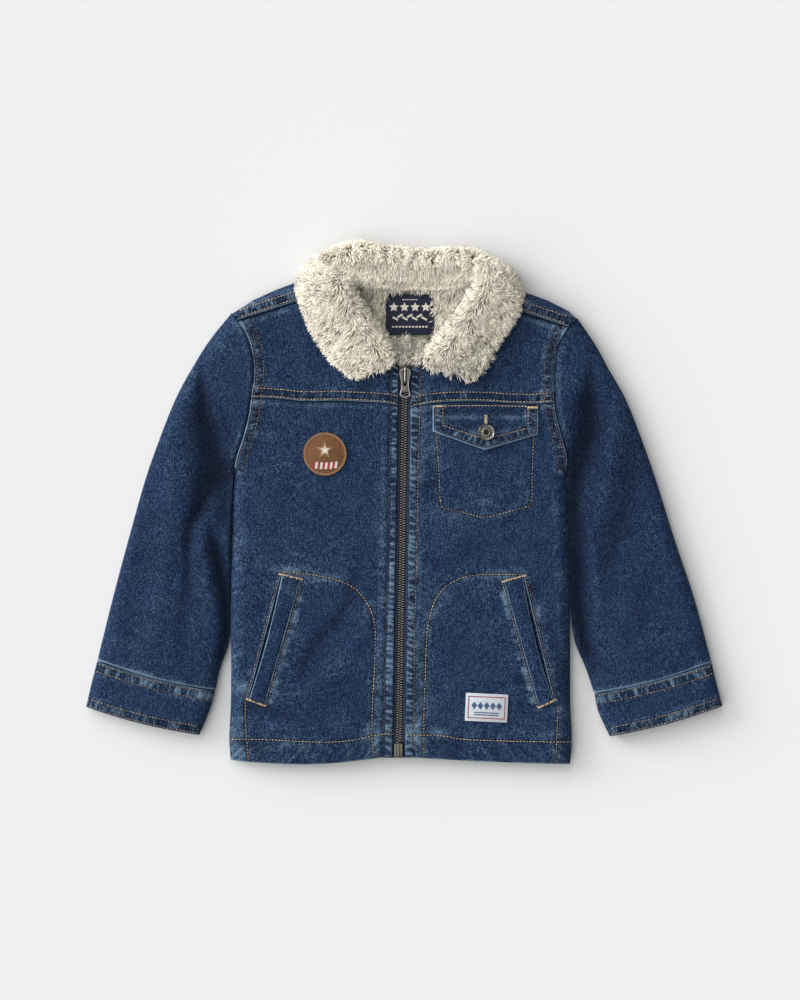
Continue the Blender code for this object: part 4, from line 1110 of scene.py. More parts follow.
def makeFlap(seed):
    left, right, point = flap["left"], flap["right"], flap["point"]
    foot, head = flap["foot"], flap["head"]
    across = np.sort(np.append(shares(flap["wide"], flap["cell"]), flap["pointShare"]))
    share, v = np.meshgrid(across, shares(flap["tall"], flap["cell"]))
    x = mix(left, right, share)
    y = mix(np.interp(x, (left, point, right), foot),
            np.interp(x, (left, 50.0, 96.0, right), (head, head + 1, head + 1, head)), v)
    relief = newRelief(x)
    relief.z += cloth["seat"] + flap["thick"] - 0.9
    outline = ((left, head), (left, foot[0]), (point, foot[1]), (right, foot[2]), (right, head))
    lappedEdge(relief, x, y, pathOf(outline, smooth=False), seed, "flap", 1.1, edgeWear=1.05)
    within = step(x, 34, 40) * (1 - step(x, 106, 112))
    relief.z -= 0.5 * bump(y - 78.0, 6.0) * within + 0.3 * bump(y - flap["topRow"], 1.0)
    # painted shade in bands under the top row and low on the flap
    relief.shade += 0.42 * bump(y - 83.6, 2.4) + 0.25 * bump(y - 71.0, 4.0) * within
    relief.wear += 0.34 * bump(y - 77.4, 2.2) * within * (0.8 + 0.3 * lumps(x, y, 9.0, seed + 9))
    faded(relief, x, y, flap["fades"])
    uneven(relief, x, y, seed + 10, broad=0.15)
    attach(closedCloth("pocketFlap", x, y, relief, cloth["seat"], denim), "pocket_flap")


def makeWelt(word, side, seed):
    wide, long = 15.5, 117.0
    share, v = np.meshgrid(shares(wide, 1.1), shares(long, 1.4))
    (ax, ay), (bx, by) = ((mix(x1, x2, v), mix(y1, y2, v))
                          for (x1, y1), (x2, y2) in (welts[side]["slit"], welts[side]["inner"]))
    sag = (2.4 + 0.5 * side) * np.sin(pi * v) * (1 - share)
    x, y = mix(ax, bx, share) - side * sag, mix(ay, by, share)
    fromSlit, fromInner, run = share * wide, (1 - share) * wide, v * long
    ticks = lumps(run, share * 2, 5.0, seed)
    relief = newRelief(x)
    relief.z += cloth["seat"] + 1.0 + 0.5 * np.sin(pi * share) + 0.15 * ticks
    relief.z -= 0.8 * (1 - rounded(fromSlit, 1.0)) + 0.6 * bump(fromInner, 0.7)
    relief.wear += 0.75 * bump(fromSlit - 0.4, 0.6)
    relief.wear += 0.3 * np.maximum(ticks, 0) * lumps(run, share * 3, 16.0, seed + 2)
    # painted shade along the welt's inner edge, and a little all over
    relief.shade += 0.5 * bump(fromInner, 0.6) + 0.06
    uneven(relief, x, y, seed + 3, broad=0.15)
    attach(closedCloth("welt" + word, x, y, relief, cloth["seat"], denim),
           "pocket_welt_" + word.lower())


lip = {"low": 14.6, "wide": 1.5, "high": 1.7, "gap": 1.3}


# A narrow folded edge of denim along a path, worn along its crest.
def makeLip(name, path, seed):
    low, wide, high, gap = lip.values()
    path = pathOf(path, gap=gap)
    across = np.linspace(-1, 1, 9)
    x, y = np.stack([shifted(path, offset * wide / 2) for offset in across], axis=-1).swapaxes(0, 1)
    share, run = np.meshgrid(across, np.arange(len(path)) * gap)
    relief = newRelief(x)
    ends = rounded(np.minimum(run, run.max() - run), 1.5)
    relief.z += low + high * np.sqrt(np.maximum(0, 1 - share**2)) * mix(0.4, 1, ends)
    relief.z += 0.15 * lumps(run, share, 3.4, seed)
    relief.wear += 0.9 * bump(share, 0.75) * (0.75 + 0.25 * lumps(run, share, 7.0, seed + 1))
    attach(closedCloth(name, x, y, relief, low - 0.6, denim))


makeFlap(800)
for side, word in bothSides:
    makeWelt(word, side, 830 + 10 * side)
    for edge, offset in (("slit", side * 1.0), ("inner", -side * 0.5)):
        makeLip("lip" + edge.capitalize() + word, [(x + offset, y) for x, y in welts[side][edge]],
                837 + 10 * side)
print("pockets made")

# Sherpa is a pelt just under the pile, and curls of yarn standing on it. Each row of the
# collar has the place of its inner and outer edge, and the pile's height at both.
collar = numbered(
    (-4, 128.5, -47, 109.5, 26, 22), (-12.6, 145.4, -66, 127.4, 30, 24),
    (-24.3, 161.6, -82, 152, 33, 25), (-37, 180, -92, 176, 35, 27),
    (-43, 197, -97.2, 197, 34, 30), (-38, 202, -88, 214, 29, 31),
    (-26, 196, -68.4, 228, 24, 31), (-12.6, 193.5, -44, 235.2, 21, 30),
    (1, 193, -11, 231, 21, 29), (14, 193, 23, 229, 21, 29),
    (31, 194, 55.8, 229.5, 21, 30), (46, 199, 77.5, 222.6, 24, 31),
    (57, 206, 96.3, 209, 29, 31), (62, 200, 105.3, 195, 34, 28),
    (56.7, 188, 105.3, 176, 35, 25), (46.8, 172.5, 97.2, 158.5, 34, 23),
    (33.3, 155.3, 85.5, 140, 32, 21), (19.5, 140, 76, 123.8, 30, 20),
    (9.4, 128, 68, 108.5, 26, 19),
)
neck = ((128.0, -7.5, 9.4), (134.2, -20.5, 26.5), (149.5, -41.0, 47.0), (164.5, -49.0, 60.0),
        (183.0, -53.0, 66.0))
sherpa = {
    "pile": 7.0,            # how far the pelt lies under the face of the pile
    "margin": 5.95,         # and how far inside its outline
    "backRise": 4.5,        # how far the lining stands up at the back of the neck
    "bare": (-17.2, 27.8, 150.0, 194.0),   # no locks here, round the label
    "length": (7.0, 11.5), "root": 0.46, "curl": 2.6, "clump": 7.5,
    "clumpSize": 4.6, "gather": 0.4, "markTone": 0.16,
    "collarLocks": 31500, "neckLocks": 7400, "seed": 41,
    # deep, the yarn's colour at its root, is painted shade between the locks; so is the pelt's darker tone
    "cream": (0.94, 0.865, 0.715), "tip": (1.0, 0.955, 0.84), "deep": (0.52, 0.44, 0.325),
    "dullest": 0.34, "brightest": 1.04, "peltShadeTone": 0.4,
    "under": 0.09, "rolled": 0.2,          # shares of the locks below the collar and at its edges
    # the lining's tone, lower than the collar's, and the three darkenings of the locks here are painted shade
    "tone": 0.82, "farLeafShade": 0.36, "backPale": 0.16, "wearerRightShade": 0.3, "neckTone": 0.74, "neckHollowShade": 0.5,
}


def makeSherpaLook():
    look, tree, shader = newLook("sherpa", sherpa["cream"], 0.95, specular=0.08, **{
        "Sheen Weight": 0.35, "Sheen Roughness": 0.6})
    # the yarn darkens towards its root with painted shade
    stops = ((0, sherpa["deep"]), (0.45, sherpa["cream"]), (1, sherpa["tip"]))
    yarn = ramped(tree, attribute(tree, "along"), stops)
    grey = ranged(tree, attribute(tree, "tone"), toLow=sherpa["dullest"], toHigh=sherpa["brightest"])
    paint(tree, shader, put(tree, "ShaderNodeVectorMath", {0: yarn, "Scale": grey},
                            operation="SCALE").outputs[0])
    return look


# Where the collar's surface is at a key along it and a share of its width, at a depth
# under the face of the pile; under is where the side below is meant.
def collarPoint(key, share, depth, under):
    ix, iy, ox, oy, inner, outer = (read(collar, column, key) for column in range(1, 7))
    x, y, width = mix(ix, ox, share), mix(iy, oy, share), np.hypot(ox - ix, oy - iy)
    first = key < 9
    end = np.where(first, 0.0, 18.0)
    near = np.maximum(0.0, 1 - np.abs(key - end))
    middle = [np.where(first, mix(collar[row][a], collar[row][b], 0.5),
                       mix(collar[other][a], collar[other][b], 0.5))
              for row, other, a, b in ((0, 18, 1, 3), (0, 18, 2, 4), (1, 17, 1, 3), (1, 17, 2, 4))]
    run = np.hypot(middle[0] - middle[2], middle[1] - middle[3])
    push = 6.0 * np.sin(pi * share) * near**2 / run
    x, y = x + push * (middle[0] - middle[2]), y + push * (middle[1] - middle[3])
    low = mix(0.6, bodyTop(x, y) + 1.2, step(foldY(x) - y, -16.0, 12.0))
    high = np.maximum(mix(inner, outer, share), low + 8) - depth
    edge = mix(low, high, 0.4)
    fromSide = np.minimum(share, 1 - share) * width - depth * 0.8
    ending = mix(0.3, 1.0, rounded(np.abs(key - end) * run - depth, 11.0))
    rise = np.where(under, (low - edge) * rounded(fromSide, 6.0), (high - edge) * rounded(fromSide, 12.0))
    return x, y, edge + rise * ending


# A share of the collar's width, counted between the edges of its pelt.
def insideShare(key, share):
    ix, iy, ox, oy = (read(collar, column, key) for column in (1, 2, 3, 4))
    margin = sherpa["margin"] / np.hypot(ox - ix, oy - iy)
    return mix(margin, 1 - margin, share)


# A pelt has one colour all over, darker than the yarn on it: painted shade under the pile.
def attachPelt(piece, along, node):
    for name, value in (("along", along), ("tone", sherpa["peltShadeTone"])):
        giveAttribute(piece, name, np.full(len(piece.data.vertices), value))
    attach(piece, node)


def makePelt(look):
    keys = np.concatenate([[0.2, 0.22, 0.3, 0.45, 0.7], np.linspace(1, 17, 97),
                           [17.3, 17.55, 17.7, 17.78, 17.8]])
    key, angle = np.meshgrid(keys, np.linspace(0, 2 * pi, 41), indexing="ij")
    share = insideShare(key, (1 - np.cos(angle)) / 2)
    x, y, z = collarPoint(key, share, sherpa["pile"], under=np.sin(angle) < 0)
    for places in (x, y, z):
        places[:, -1] = places[:, 0]
        places[0], places[-1] = places[0].mean(), places[-1].mean()
    piece = addGrid("collarPelt", x.shape[1], x.shape[0])
    setPlaces(piece, x, y, z)
    closeMesh(merge=0.00001)
    giveLook(piece, look, 80)
    attachPelt(piece, 0.12, "collar")


# How far the lining stands up towards the fold at the back of the neck.
def liningRise(y):
    return sherpa["backRise"] * step(y, 184, 201)


# The lining, from its foot between the collar's leaves up to the fold at the back.
def neckPlan(share, row, foot, gap):
    top = neck[-1][0]
    level = np.where(row < 0.8, mix(neck[0][0] + foot, top, row / 0.8), top)
    x = mix(read(neck, 1, level), read(neck, 2, level), share)
    return x, np.where(row < 0.8, level, mix(top, foldY(x) - gap, (row - 0.8) / 0.2))


def makeNeckPelt(look):
    x, y = neckPlan(*np.meshgrid(np.linspace(0, 1, 41), np.linspace(0, 1, 31)), 0, 0.8)
    relief = newRelief(x)
    relief.z += cloth["liningTop"] - 2.6 + liningRise(y) + 0.7 * lumps(x, y, 9.0, 12)
    attachPelt(closedCloth("neckPelt", x, y, relief, 7.9, look), 0.18, "neck_lining")


# The way from each root to the middle of its clump, and a number that the clump shares.
def clumps(x, y, seed):
    random = np.random.default_rng(seed)
    jitter, mark = random.uniform(-0.32, 0.32, (64, 64, 2)), random.random((64, 64))
    size = sherpa["clumpSize"]
    row = np.floor(y / size).astype(int)
    shift = 0.5 * (row % 2)
    column = np.floor(x / size - shift).astype(int)
    i, j = row % 64, column % 64
    across = (column + 0.5 + shift + jitter[i, j, 0]) * size - x
    along = (row + 0.5 + jitter[i, j, 1]) * size - y
    return np.column_stack([across, along, np.zeros_like(x)]), mark[i, j]


# Many curved, tapering locks as one piece. They stand up from their roots along rise, lie
# over along flow and draw together in clumps.
def makeLocks(name, node, look, roots, rise, flow, length, thick, tone, seed):
    random = np.random.default_rng(seed)
    count, t = len(roots), np.array([0.0, 0.36, 0.72, 1.0])
    side = unit(np.cross(flow, rise))
    together, mark = clumps(roots[:, 0], roots[:, 1], 8)
    together *= np.clip(rise[:, 2:], 0, 1)**2
    bend = (0.5 * random.normal(0, 1, count) + 3.0 * (mark - 0.5))[:, None] * sherpa["curl"] * t**2
    phase = (mark + 0.25 * random.random(count))[:, None] * 2 * pi
    sway = bend + 0.9 * np.sin(phase + t * 5.0) * t
    lift = sherpa["pile"] * random.uniform(0.75, 1.15, count)[:, None] * np.sin(0.62 * pi * t)
    lift = lift + 0.7 * np.cos(phase + t * 5.0) * t
    reach = length[:, None] * t
    centre = (roots[:, None] + rise[:, None] * lift[..., None] + flow[:, None] * reach[..., None]
              + side[:, None] * sway[..., None] + sherpa["gather"] * together[:, None] * t[:, None]**1.3)
    tone = np.clip(tone + sherpa["markTone"] * (mark - 0.5), 0, 1)
    ahead = unit(np.gradient(centre, axis=1))
    across = unit(np.cross(ahead, np.broadcast_to(rise[:, None], ahead.shape)))
    upward = np.cross(across, ahead)
    turns = 2 * pi * np.arange(3) / 3 + pi / 2
    radius = thick[:, None] * np.array([0.8, 1.0, 0.75])
    rings = (centre[:, :3, None]
             + across[:, :3, None] * (radius[..., None] * np.cos(turns))[..., None]
             + upward[:, :3, None] * (radius[..., None] * np.sin(turns))[..., None])
    places = np.concatenate([rings.reshape(count, 9, 3), centre[:, 3:]], axis=1)
    height = places[..., 2]
    places[..., 2] = np.where(height < 1.2, 0.2 + np.exp(np.minimum(height, 1.2) - 1.2), height)
    quads = [(r + k, r + (k + 1) % 3, r + 3 + (k + 1) % 3, r + 3 + k) for r in (0, 3) for k in range(3)]
    ends = [(6 + k, 6 + (k + 1) % 3, 9) for k in range(3)] + [(2, 1, 0)]
    start = np.arange(count)[:, None] * 10
    loops = np.concatenate([(start + np.array(faces).ravel()).ravel() for faces in (quads, ends)])
    sizes = np.concatenate([np.full(6 * count, 4), np.full(4 * count, 3)])
    mesh = bpy.data.meshes.new(name)
    mesh.vertices.add(10 * count)
    mesh.vertices.foreach_set("co", (places.ravel() * mm).astype(np.float32))
    mesh.loops.add(len(loops))
    mesh.loops.foreach_set("vertex_index", loops.astype(np.int32))
    mesh.polygons.add(len(sizes))
    mesh.polygons.foreach_set("loop_start", np.cumsum(np.concatenate([[0], sizes[:-1]])).astype(np.int32))
    mesh.polygons.foreach_set("use_smooth", np.ones(len(sizes), bool))
    mesh.update(calc_edges=True)
    piece = newPiece(name, mesh)
    giveAttribute(piece, "along", np.tile(np.append(np.repeat(t[:3], 3), 1.0), count))
    giveAttribute(piece, "tone", np.repeat(tone, 10))
    mesh.materials.append(look)
    attach(piece, node)


def turned(vectors, angle):
    c, s = np.cos(angle), np.sin(angle)
    return np.column_stack([vectors[:, 0] * c - vectors[:, 1] * s,
                            vectors[:, 0] * s + vectors[:, 1] * c, vectors[:, 2]])


def furCollar(look):
    random = np.random.default_rng(sherpa["seed"])
    count = sherpa["collarLocks"]
    weights = np.array([hypot(b[3] - a[3], b[4] - a[4]) + 8 for a, b in zip(collar, collar[1:])])
    edges = np.concatenate([[0], np.cumsum(weights)]) / weights.sum()
    key = np.interp(random.random(count), edges, np.arange(19.0))
    key = 0.22 + key * (17.78 - 0.22) / 18
    share = random.random(count)
    under = random.random(count) < sherpa["under"]
    rolled = ~under & (random.random(count) < sherpa["rolled"])
    bent = 1 - np.cos(random.random(count) * pi / 2)
    share = np.where(rolled, np.where(share < 0.3, 0.14 * bent, 1 - 0.22 * bent), share)
    share = np.where(under, np.where(share < 0.15, 0.1 * bent, 1 - 0.14 * bent), share)
    depth = np.full(count, sherpa["pile"])
    held = insideShare(key, share)

    def at(k, s):
        return np.column_stack(collarPoint(k, s, depth, under))

    roots = at(key, held)
    onward = at(np.clip(key + 0.04, 0.2, 17.8), held) - at(np.clip(key - 0.04, 0.2, 17.8), held)
    inward = at(key, np.clip(held + 0.01, 0, 1)) - at(key, np.clip(held - 0.01, 0, 1))
    rise = np.cross(inward, onward)
    rise *= np.where(under, 1, np.sign(rise[:, 2]))[:, None]
    rise[under] *= np.where(rise[under, 2] > 0, -1, 1)[:, None]
    rise[under, 2] *= 0.1
    rise, outward = unit(rise), unit(inward * np.array([1, 1, 0]))
    x, y = roots[:, 0], roots[:, 1]
    onLeaf = 1 - step(y, 150, 200)
    way = mix(-0.75, 1.0, step(share, 0.1, 0.42))
    flow = outward * way[:, None] + np.array([0, -1.0, 0]) * (0.25 + 0.35 * onLeaf)[:, None]
    leafEnd = np.maximum(step(-key, -1.6, -0.2), step(key, 16.4, 17.8))
    flow[:, 1] -= 1.1 * leafEnd
    swirl = (0.8 * lumps(x, y, sherpa["clump"], 31) + 0.5 * lumps(x, y, 3.2, 32)
             + 0.24 * random.normal(0, 1, count))
    flow = turned(flow, swirl * mix(1.1, 0.75, step(share, 0.4, 0.75)))
    # at the back of the neck the pile hangs down over the fold's inner edge
    atBack = step(key, 5.0, 6.6) * (1 - step(key, 11.6, 13.2))
    hang = atBack * (1 - step(share, 0.9, 1.0))
    down = turned(np.tile((0.0, -1.0, -0.2), (count, 1)), 0.55 * swirl)
    flow = mix(flow, down, atBack[:, None])
    flow = unit(flow - rise * np.sum(flow * rise, axis=1)[:, None])
    flat = np.clip(rise[:, 2], 0, 1)
    length = random.uniform(*sherpa["length"], count) * np.maximum(mix(0.28, 1.0, flat), 1.15 * hang)
    length *= mix(0.6, 1.0, step(np.minimum(share, 1 - share), 0.0, 0.2)) * (1 - 0.28 * leafEnd)
    length *= 1 - 0.15 * atBack * (1 - step(share, 0.05, 0.25))
    thick = random.uniform(0.75, 1.15, count) * sherpa["root"]
    # painted shade on the far part of the wearer's left leaf, the side turned from the lamps
    far = step(x, 30, 46) * (1 - step(y, 138, 168)) * step(share, 0.25, 0.6)
    tone = np.clip(sherpa["tone"] - sherpa["farLeafShade"] * far + sherpa["backPale"] * atBack
                   + 0.2 * lumps(x, y, 9.0, 33) + 0.15 * random.normal(0, 1, count), 0, 1)
    # painted shade on locks that face the wearer's right
    tone = np.clip(tone - sherpa["wearerRightShade"] * np.clip(-rise[:, 0], 0, 1), 0, 1)
    parts = np.where(key < 6.2, 0, np.where(key < 11.6, 1, 2))
    for number, word in enumerate(("Right", "Back", "Left")):
        chosen = parts == number
        picked = (values[chosen] for values in (roots, rise, flow, length, thick, tone))
        makeLocks("collarPile" + word, "collar", look, *picked, 50 + number)


def furNeck(look):
    random = np.random.default_rng(sherpa["seed"] + 5)
    count = sherpa["neckLocks"]
    row = random.random(count) ** 0.85
    x, y = neckPlan(random.uniform(0.02, 0.98, count), row, 2, 3)
    left, right, low, high = sherpa["bare"]
    free = ~((x > left) & (x < right) & (y > low) & (y < high))
    x, y = x[free], y[free]
    count = len(x)
    roots = np.column_stack([x, y, cloth["liningTop"] - 3.0 + liningRise(y)])
    rise = np.tile((0.0, 0.0, 1.0), (count, 1))
    flow = np.column_stack([0.35 * np.sign(5 - x) * step(np.abs(x - 5), 12, 40), np.full(count, -1.0),
                            np.zeros(count)])
    low = 1 - step(y, 146, 158)
    swirl = (0.9 + 0.9 * low) * lumps(x, y, 6.5, 71)
    flow = unit(turned(flow, swirl + (0.3 + 0.3 * low) * random.normal(0, 1, count)))
    # the lining gets painted shade low down between the leaves, and at the left of the label, where it lies
    # in hollows
    darkening = np.maximum(1 - step(y, 146, 160), 0.7 * step(-x, 12, 34) * (1 - step(y, 186, 200)))
    tone = np.clip(sherpa["neckTone"] - sherpa["neckHollowShade"] * darkening
                   + (0.22 + 0.3 * low) * lumps(x, y, 3.8, 73)
                   + (0.16 + 0.2 * low) * random.normal(0, 1, count), 0, 1)
    rise = rise * (0.62 + 0.45 * low)[:, None]
    makeLocks("neckPile", "neck_lining", look, roots, rise, flow, random.uniform(6, 10, count),
              random.uniform(0.7, 1.1, count) * (1 + 0.35 * low) * sherpa["root"], tone, 61)


sherpaLook = makeSherpaLook()
makePelt(sherpaLook)
makeNeckPelt(sherpaLook)
furCollar(sherpaLook)
furNeck(sherpaLook)
print("sherpa made")


def takeTemplate(piece):
    points, faces = placesOf(piece), facesOf(piece)
    bpy.data.objects.remove(piece)
    return points, faces


# Copies of a template as one piece. places are in millimetres; each copy is scaled, turned
# to its heading in the plane and tipped along the slope there.
def repeatPiece(name, template, places, headings, look, node, scales=None, slopes=None,
                tones=None, smooth=40):
    points, faces = template
    count = len(places)
    scaled = points[None] * (np.ones((count, 1, 3)) if scales is None else scales[:, None])
    c, s = np.cos(headings)[:, None], np.sin(headings)[:, None]
    x, y, z = scaled[..., 0], scaled[..., 1], scaled[..., 2]
    if slopes is not None:
        z = z + x * slopes[:, :1] + y * slopes[:, 1:]
    moved = np.stack([x * c - y * s, x * s + y * c, z], axis=-1) + np.asarray(places)[:, None]
    total = [tuple(corner + copy * len(points) for corner in face) for copy in range(count) for face in faces]
    mesh = bpy.data.meshes.new(name)
    mesh.from_pydata((moved.reshape(-1, 3) * mm).tolist(), [], total)
    piece = newPiece(name, mesh)
    if tones is not None:
        giveAttribute(piece, "tone", np.repeat(tones, len(points)))
    giveLook(piece, look, smooth)
    attach(piece, node)


# stops: colour of the thread at tones from 0, dark, to 1, bright; tones: how bright each row is
thread = {
    "pitch": 3.0, "long": 2.3, "wide": 0.74, "high": 0.6, "sink": 0.1,
    "tackPitch": 0.8, "tackWide": 0.95, "tackHigh": 0.9,
    "lowest": 0.004, "steepest": 0.35,     # nothing is sewn lower, in metres, or on steeper cloth
    "stops": ((0, (0.036, 0.026, 0.03)), (0.3, (0.08, 0.056, 0.052)), (0.55, (0.15, 0.11, 0.082)),
              (0.8, (0.37, 0.29, 0.19)), (1, (0.52, 0.36, 0.19))),
    "tones": {"hemRow": 0.84, "pocketArc": 0.78, "pocketSide": 0.66, "pocketBag": 0.68,
              "facing": {-1: 0.3, 1: 0.58}, "armhole": 0.46, "yoke": 0.84, "shoulder": 0.84,
              "cuffTop": 0.62, "cuffEnd": 0.72, "flap": (0.45, 0.72), "flapTop": 0.95, "welt": 0.6},
}


def makeThread():
    look, tree, shader = newLook("thread", thread["stops"][3][1], 0.7, specular=0.25)
    paint(tree, shader, ramped(tree, attribute(tree, "tone"), thread["stops"]))
    return look


deselect()
bpy.ops.mesh.primitive_uv_sphere_add(segments=6, ring_count=4, radius=0.5, rotation=(0, pi / 2, 0))
bpy.ops.object.transform_apply(location=False, rotation=True, scale=False)
stitchShape = takeTemplate(bpy.context.object)
ground = [BVHTree.FromPolygons(placesOf(piece).tolist(), facesOf(piece))
          for name, piece in pieces.items() if not name.startswith(("collar", "neck"))]
sewn = []
sewing = np.random.default_rng(17)


# Height of the uppermost cloth at a spot, and its slope.
def clothAt(x, y):
    best, normal = None, None
    for tree in ground:
        hit = tree.ray_cast(Vector((x * mm, y * mm, 0.2)), Vector((0, 0, -1)))
        if hit[0] is not None and (best is None or hit[0].z > best):
            best, normal = hit[0].z, hit[1]
    return best, normal


# Nothing is sewn on the table or on cloth that is nearly upright.
def addStitch(x, y, heading, tone, length, width, high):
    z, normal = clothAt(x, y)
    if z is None or z < thread["lowest"] or normal.z < thread["steepest"]:
        return
    dx, dy = -normal.x / normal.z, -normal.y / normal.z
    c, s = cos(heading), sin(heading)
    sewn.append(((x, y, z / mm + high * 0.5 - thread["sink"]), heading, (dx * c + dy * s, -dx * s + dy * c),
                 tone, (length, width, high)))


def sewRow(path, tone, smooth=True, start=0.0, end=0.0):
    path = pathOf(path, gap=1.0, smooth=smooth)
    at, pitch = distances(path), thread["pitch"]
    centres = np.arange(start + pitch / 2, at[-1] - end, pitch)
    here, after, before = (np.column_stack([np.interp(centres + shift, at, path[:, k]) for k in (0, 1)])
                           for shift in (0, 0.8, -0.8))
    for (x, y), (dx, dy) in zip(here, after - before):
        addStitch(x + sewing.normal(0, 0.06), y + sewing.normal(0, 0.06),
                  np.arctan2(dy, dx) + sewing.normal(0, 0.04), np.clip(tone + sewing.normal(0, 0.09), 0, 1),
                  thread["long"] * sewing.uniform(0.9, 1.08), thread["wide"] * sewing.uniform(0.9, 1.1),
                  thread["high"])


# Both rows beside a seam; turn is 1 where they lie to the left of its path, -1 to the right.
def sewSeam(path, kind, turn, start=0.0, end=0.0):
    for distance in seamLook[kind]:
        sewRow(shifted(path, turn * distance), thread["tones"][kind], start=start, end=end)


# Dense stitches across a short line.
def barTack(start, end, tone, width=2.0):
    rise, run = end[1] - start[1], end[0] - start[0]
    length, heading = hypot(run, rise), atan2(rise, run) + pi / 2 - 0.25
    gap = thread["tackPitch"]
    for number in range(int(length / gap) + 1):
        share = number * gap / length
        addStitch(mix(start[0], end[0], share), mix(start[1], end[1], share), heading,
                  np.clip(tone + sewing.normal(0, 0.06), 0, 1), width * sewing.uniform(0.92, 1.06),
                  thread["tackWide"], thread["tackHigh"])


def sewJacket():
    tones = thread["tones"]
    for facts in (frontRight, frontLeft):
        for row in ("hemRow", "pocketArc", "pocketSide"):
            sewRow(facts[row], tones[row])
    sewRow(frontLeft["pocketBag"], tones["pocketBag"], smooth=False)
    for side in (-1, 1):
        sewRow(facing[side][::6], tones["facing"][side])
    for side in (-1, 1):
        sewSeam(np.array([(float(sideX(y, side)), y) for y in np.linspace(31, 158, 30)]), "armhole", side)
    for side in (-1, 1):
        sewSeam(yokeFoot(side), "yoke", -side, start=1.5, end=1.0)
    for start, end in ((-146.0, -70.0), (84.0, 144.0)):
        sewSeam(np.array([(x, float(seamY(x))) for x in np.linspace(start, end, 16)]), "shoulder", 1)
    for side in (-1, 1):
        for key, kind, turn in ((0.0, "cuffTop", side), (2.0, "cuffEnd", -side)):
            line = tubePlan(cuffs[side], side, np.full(40, key), np.linspace(0.02, 0.98, 40), False)
            sewSeam(np.column_stack(line), kind, turn)
    sewFlap(tones)
    for side in (-1, 1):
        slit, inner = welts[side]["slit"], welts[side]["inner"]
        for edge, outward in ((slit, side), (inner, -side)):
            sewRow(shifted(pathOf(edge), -outward * 2.7), tones["welt"])
        for a, b in zip(np.array(slit), np.array(inner)):
            away = (b - a) / np.linalg.norm(b - a)
            barTack(a - away * 2.5, b + away * 2.5, 0.93)


def sewFlap(tones):
    left, right, point, foot, top = (flap[key] for key in ("left", "right", "point", "foot", "topRow"))
    for d, tone in zip(seamLook["flap"], tones["flap"]):
        sewRow([(left + d, 86.0), (left + d, foot[0] + d * 0.6), (point, foot[1] + d * 1.06),
                (right - d, foot[2] + d * 0.62), (right - d, 86.0)], tone, smooth=False)
    sewRow(((27.0, top), (50.0, top + 0.7), (96.0, top + 0.5), (119.6, top - 0.4)), tones["flapTop"])
    barTack((27.2, top), (35.5, top + 0.2), 0.9, width=1.7)
    barTack((111.5, top - 0.9), (119.6, top - 1.1), 0.95, width=1.9)
    barTack((73.9, 79.2), (73.9, 70.6), 0.8, width=3.4)


sewJacket()
print("rows sewn")


zipper = {
    "pitch": 2.2, "low": 10.6, "high": 13.3, "from": -214.6, "to": 106.4,
    "half": 1.4, "lean": 0.1, "tooth": (2.7, 1.0, 2.5), "edge": 0.26,
}


def metalLook(name, colour, roughness, scratches):
    look, tree, shader = newLook(name, colour, roughness, metallic=1.0, specular=0.5)
    blotches = noiseAt(tree, objectPlace(tree), 420.0, detail=3.0)
    darkening = tuple(0.35 * c for c in colour)
    paint(tree, shader, blended(tree, times(tree, blotches, scratches), colour, darkening))
    return look


brass = metalLook("antique brass", (0.31, 0.295, 0.255), 0.42, 0.8)
nickel = metalLook("antique nickel", (0.17, 0.158, 0.135), 0.36, 0.9)
pewter = metalLook("dark pewter", (0.06, 0.055, 0.045), 0.45, 0.7)
polished = metalLook("worn bright nickel", (0.52, 0.51, 0.49), 0.28, 0.4)
worn = metalLook("worn nickel", (0.25, 0.24, 0.22), 0.34, 0.8)
# near black: painted shade in the button's hole, and the button's dark marks
holeShadeAndMarks = newLook("hollow in metal", (0.01, 0.009, 0.008), 0.7)[0]


# Woven tape: close ribs across a dark ground.
def makeTapeLook():
    look, tree, shader = newLook("zip tape", (0.012, 0.016, 0.034), 0.85, specular=0.15)
    ribs = put(tree, "ShaderNodeTexWave", {"Vector": objectPlace(tree), "Scale": 330.0, "Distortion": 0.6},
               bands_direction="Y").outputs["Fac"]
    paint(tree, shader, blended(tree, ribs, (0.014, 0.018, 0.038), (0.04, 0.049, 0.09)))
    return look


def makeZip():
    deselect()
    bpy.ops.mesh.primitive_cube_add(size=1)
    tooth = bpy.context.object
    tooth.scale = zipper["tooth"]
    bpy.ops.object.transform_apply(location=False, rotation=False, scale=True)
    roundEdges(tooth, zipper["edge"], 1)
    levels = np.arange(zipper["from"], zipper["to"], zipper["pitch"])
    places, headings = [], []
    for side, offset in ((-1, 0.0), (1, zipper["pitch"] / 2)):
        y, height = levels + offset, (zipper["low"] + zipper["high"]) / 2
        places.append(np.column_stack([zipX(y) + side * zipper["half"], y, np.full(len(y), height)]))
        headings.append(np.full(len(y), side * zipper["lean"]))
    repeatPiece("zipTeeth", takeTemplate(tooth), np.concatenate(places), np.concatenate(headings), brass,
                "zip_chain")


tapeLook = makeTapeLook()
for name in ("zip_tape_right", "zip_tape_left"):
    nodes[name].data.materials.clear()
    nodes[name].data.materials.append(tapeLook)
makeZip()


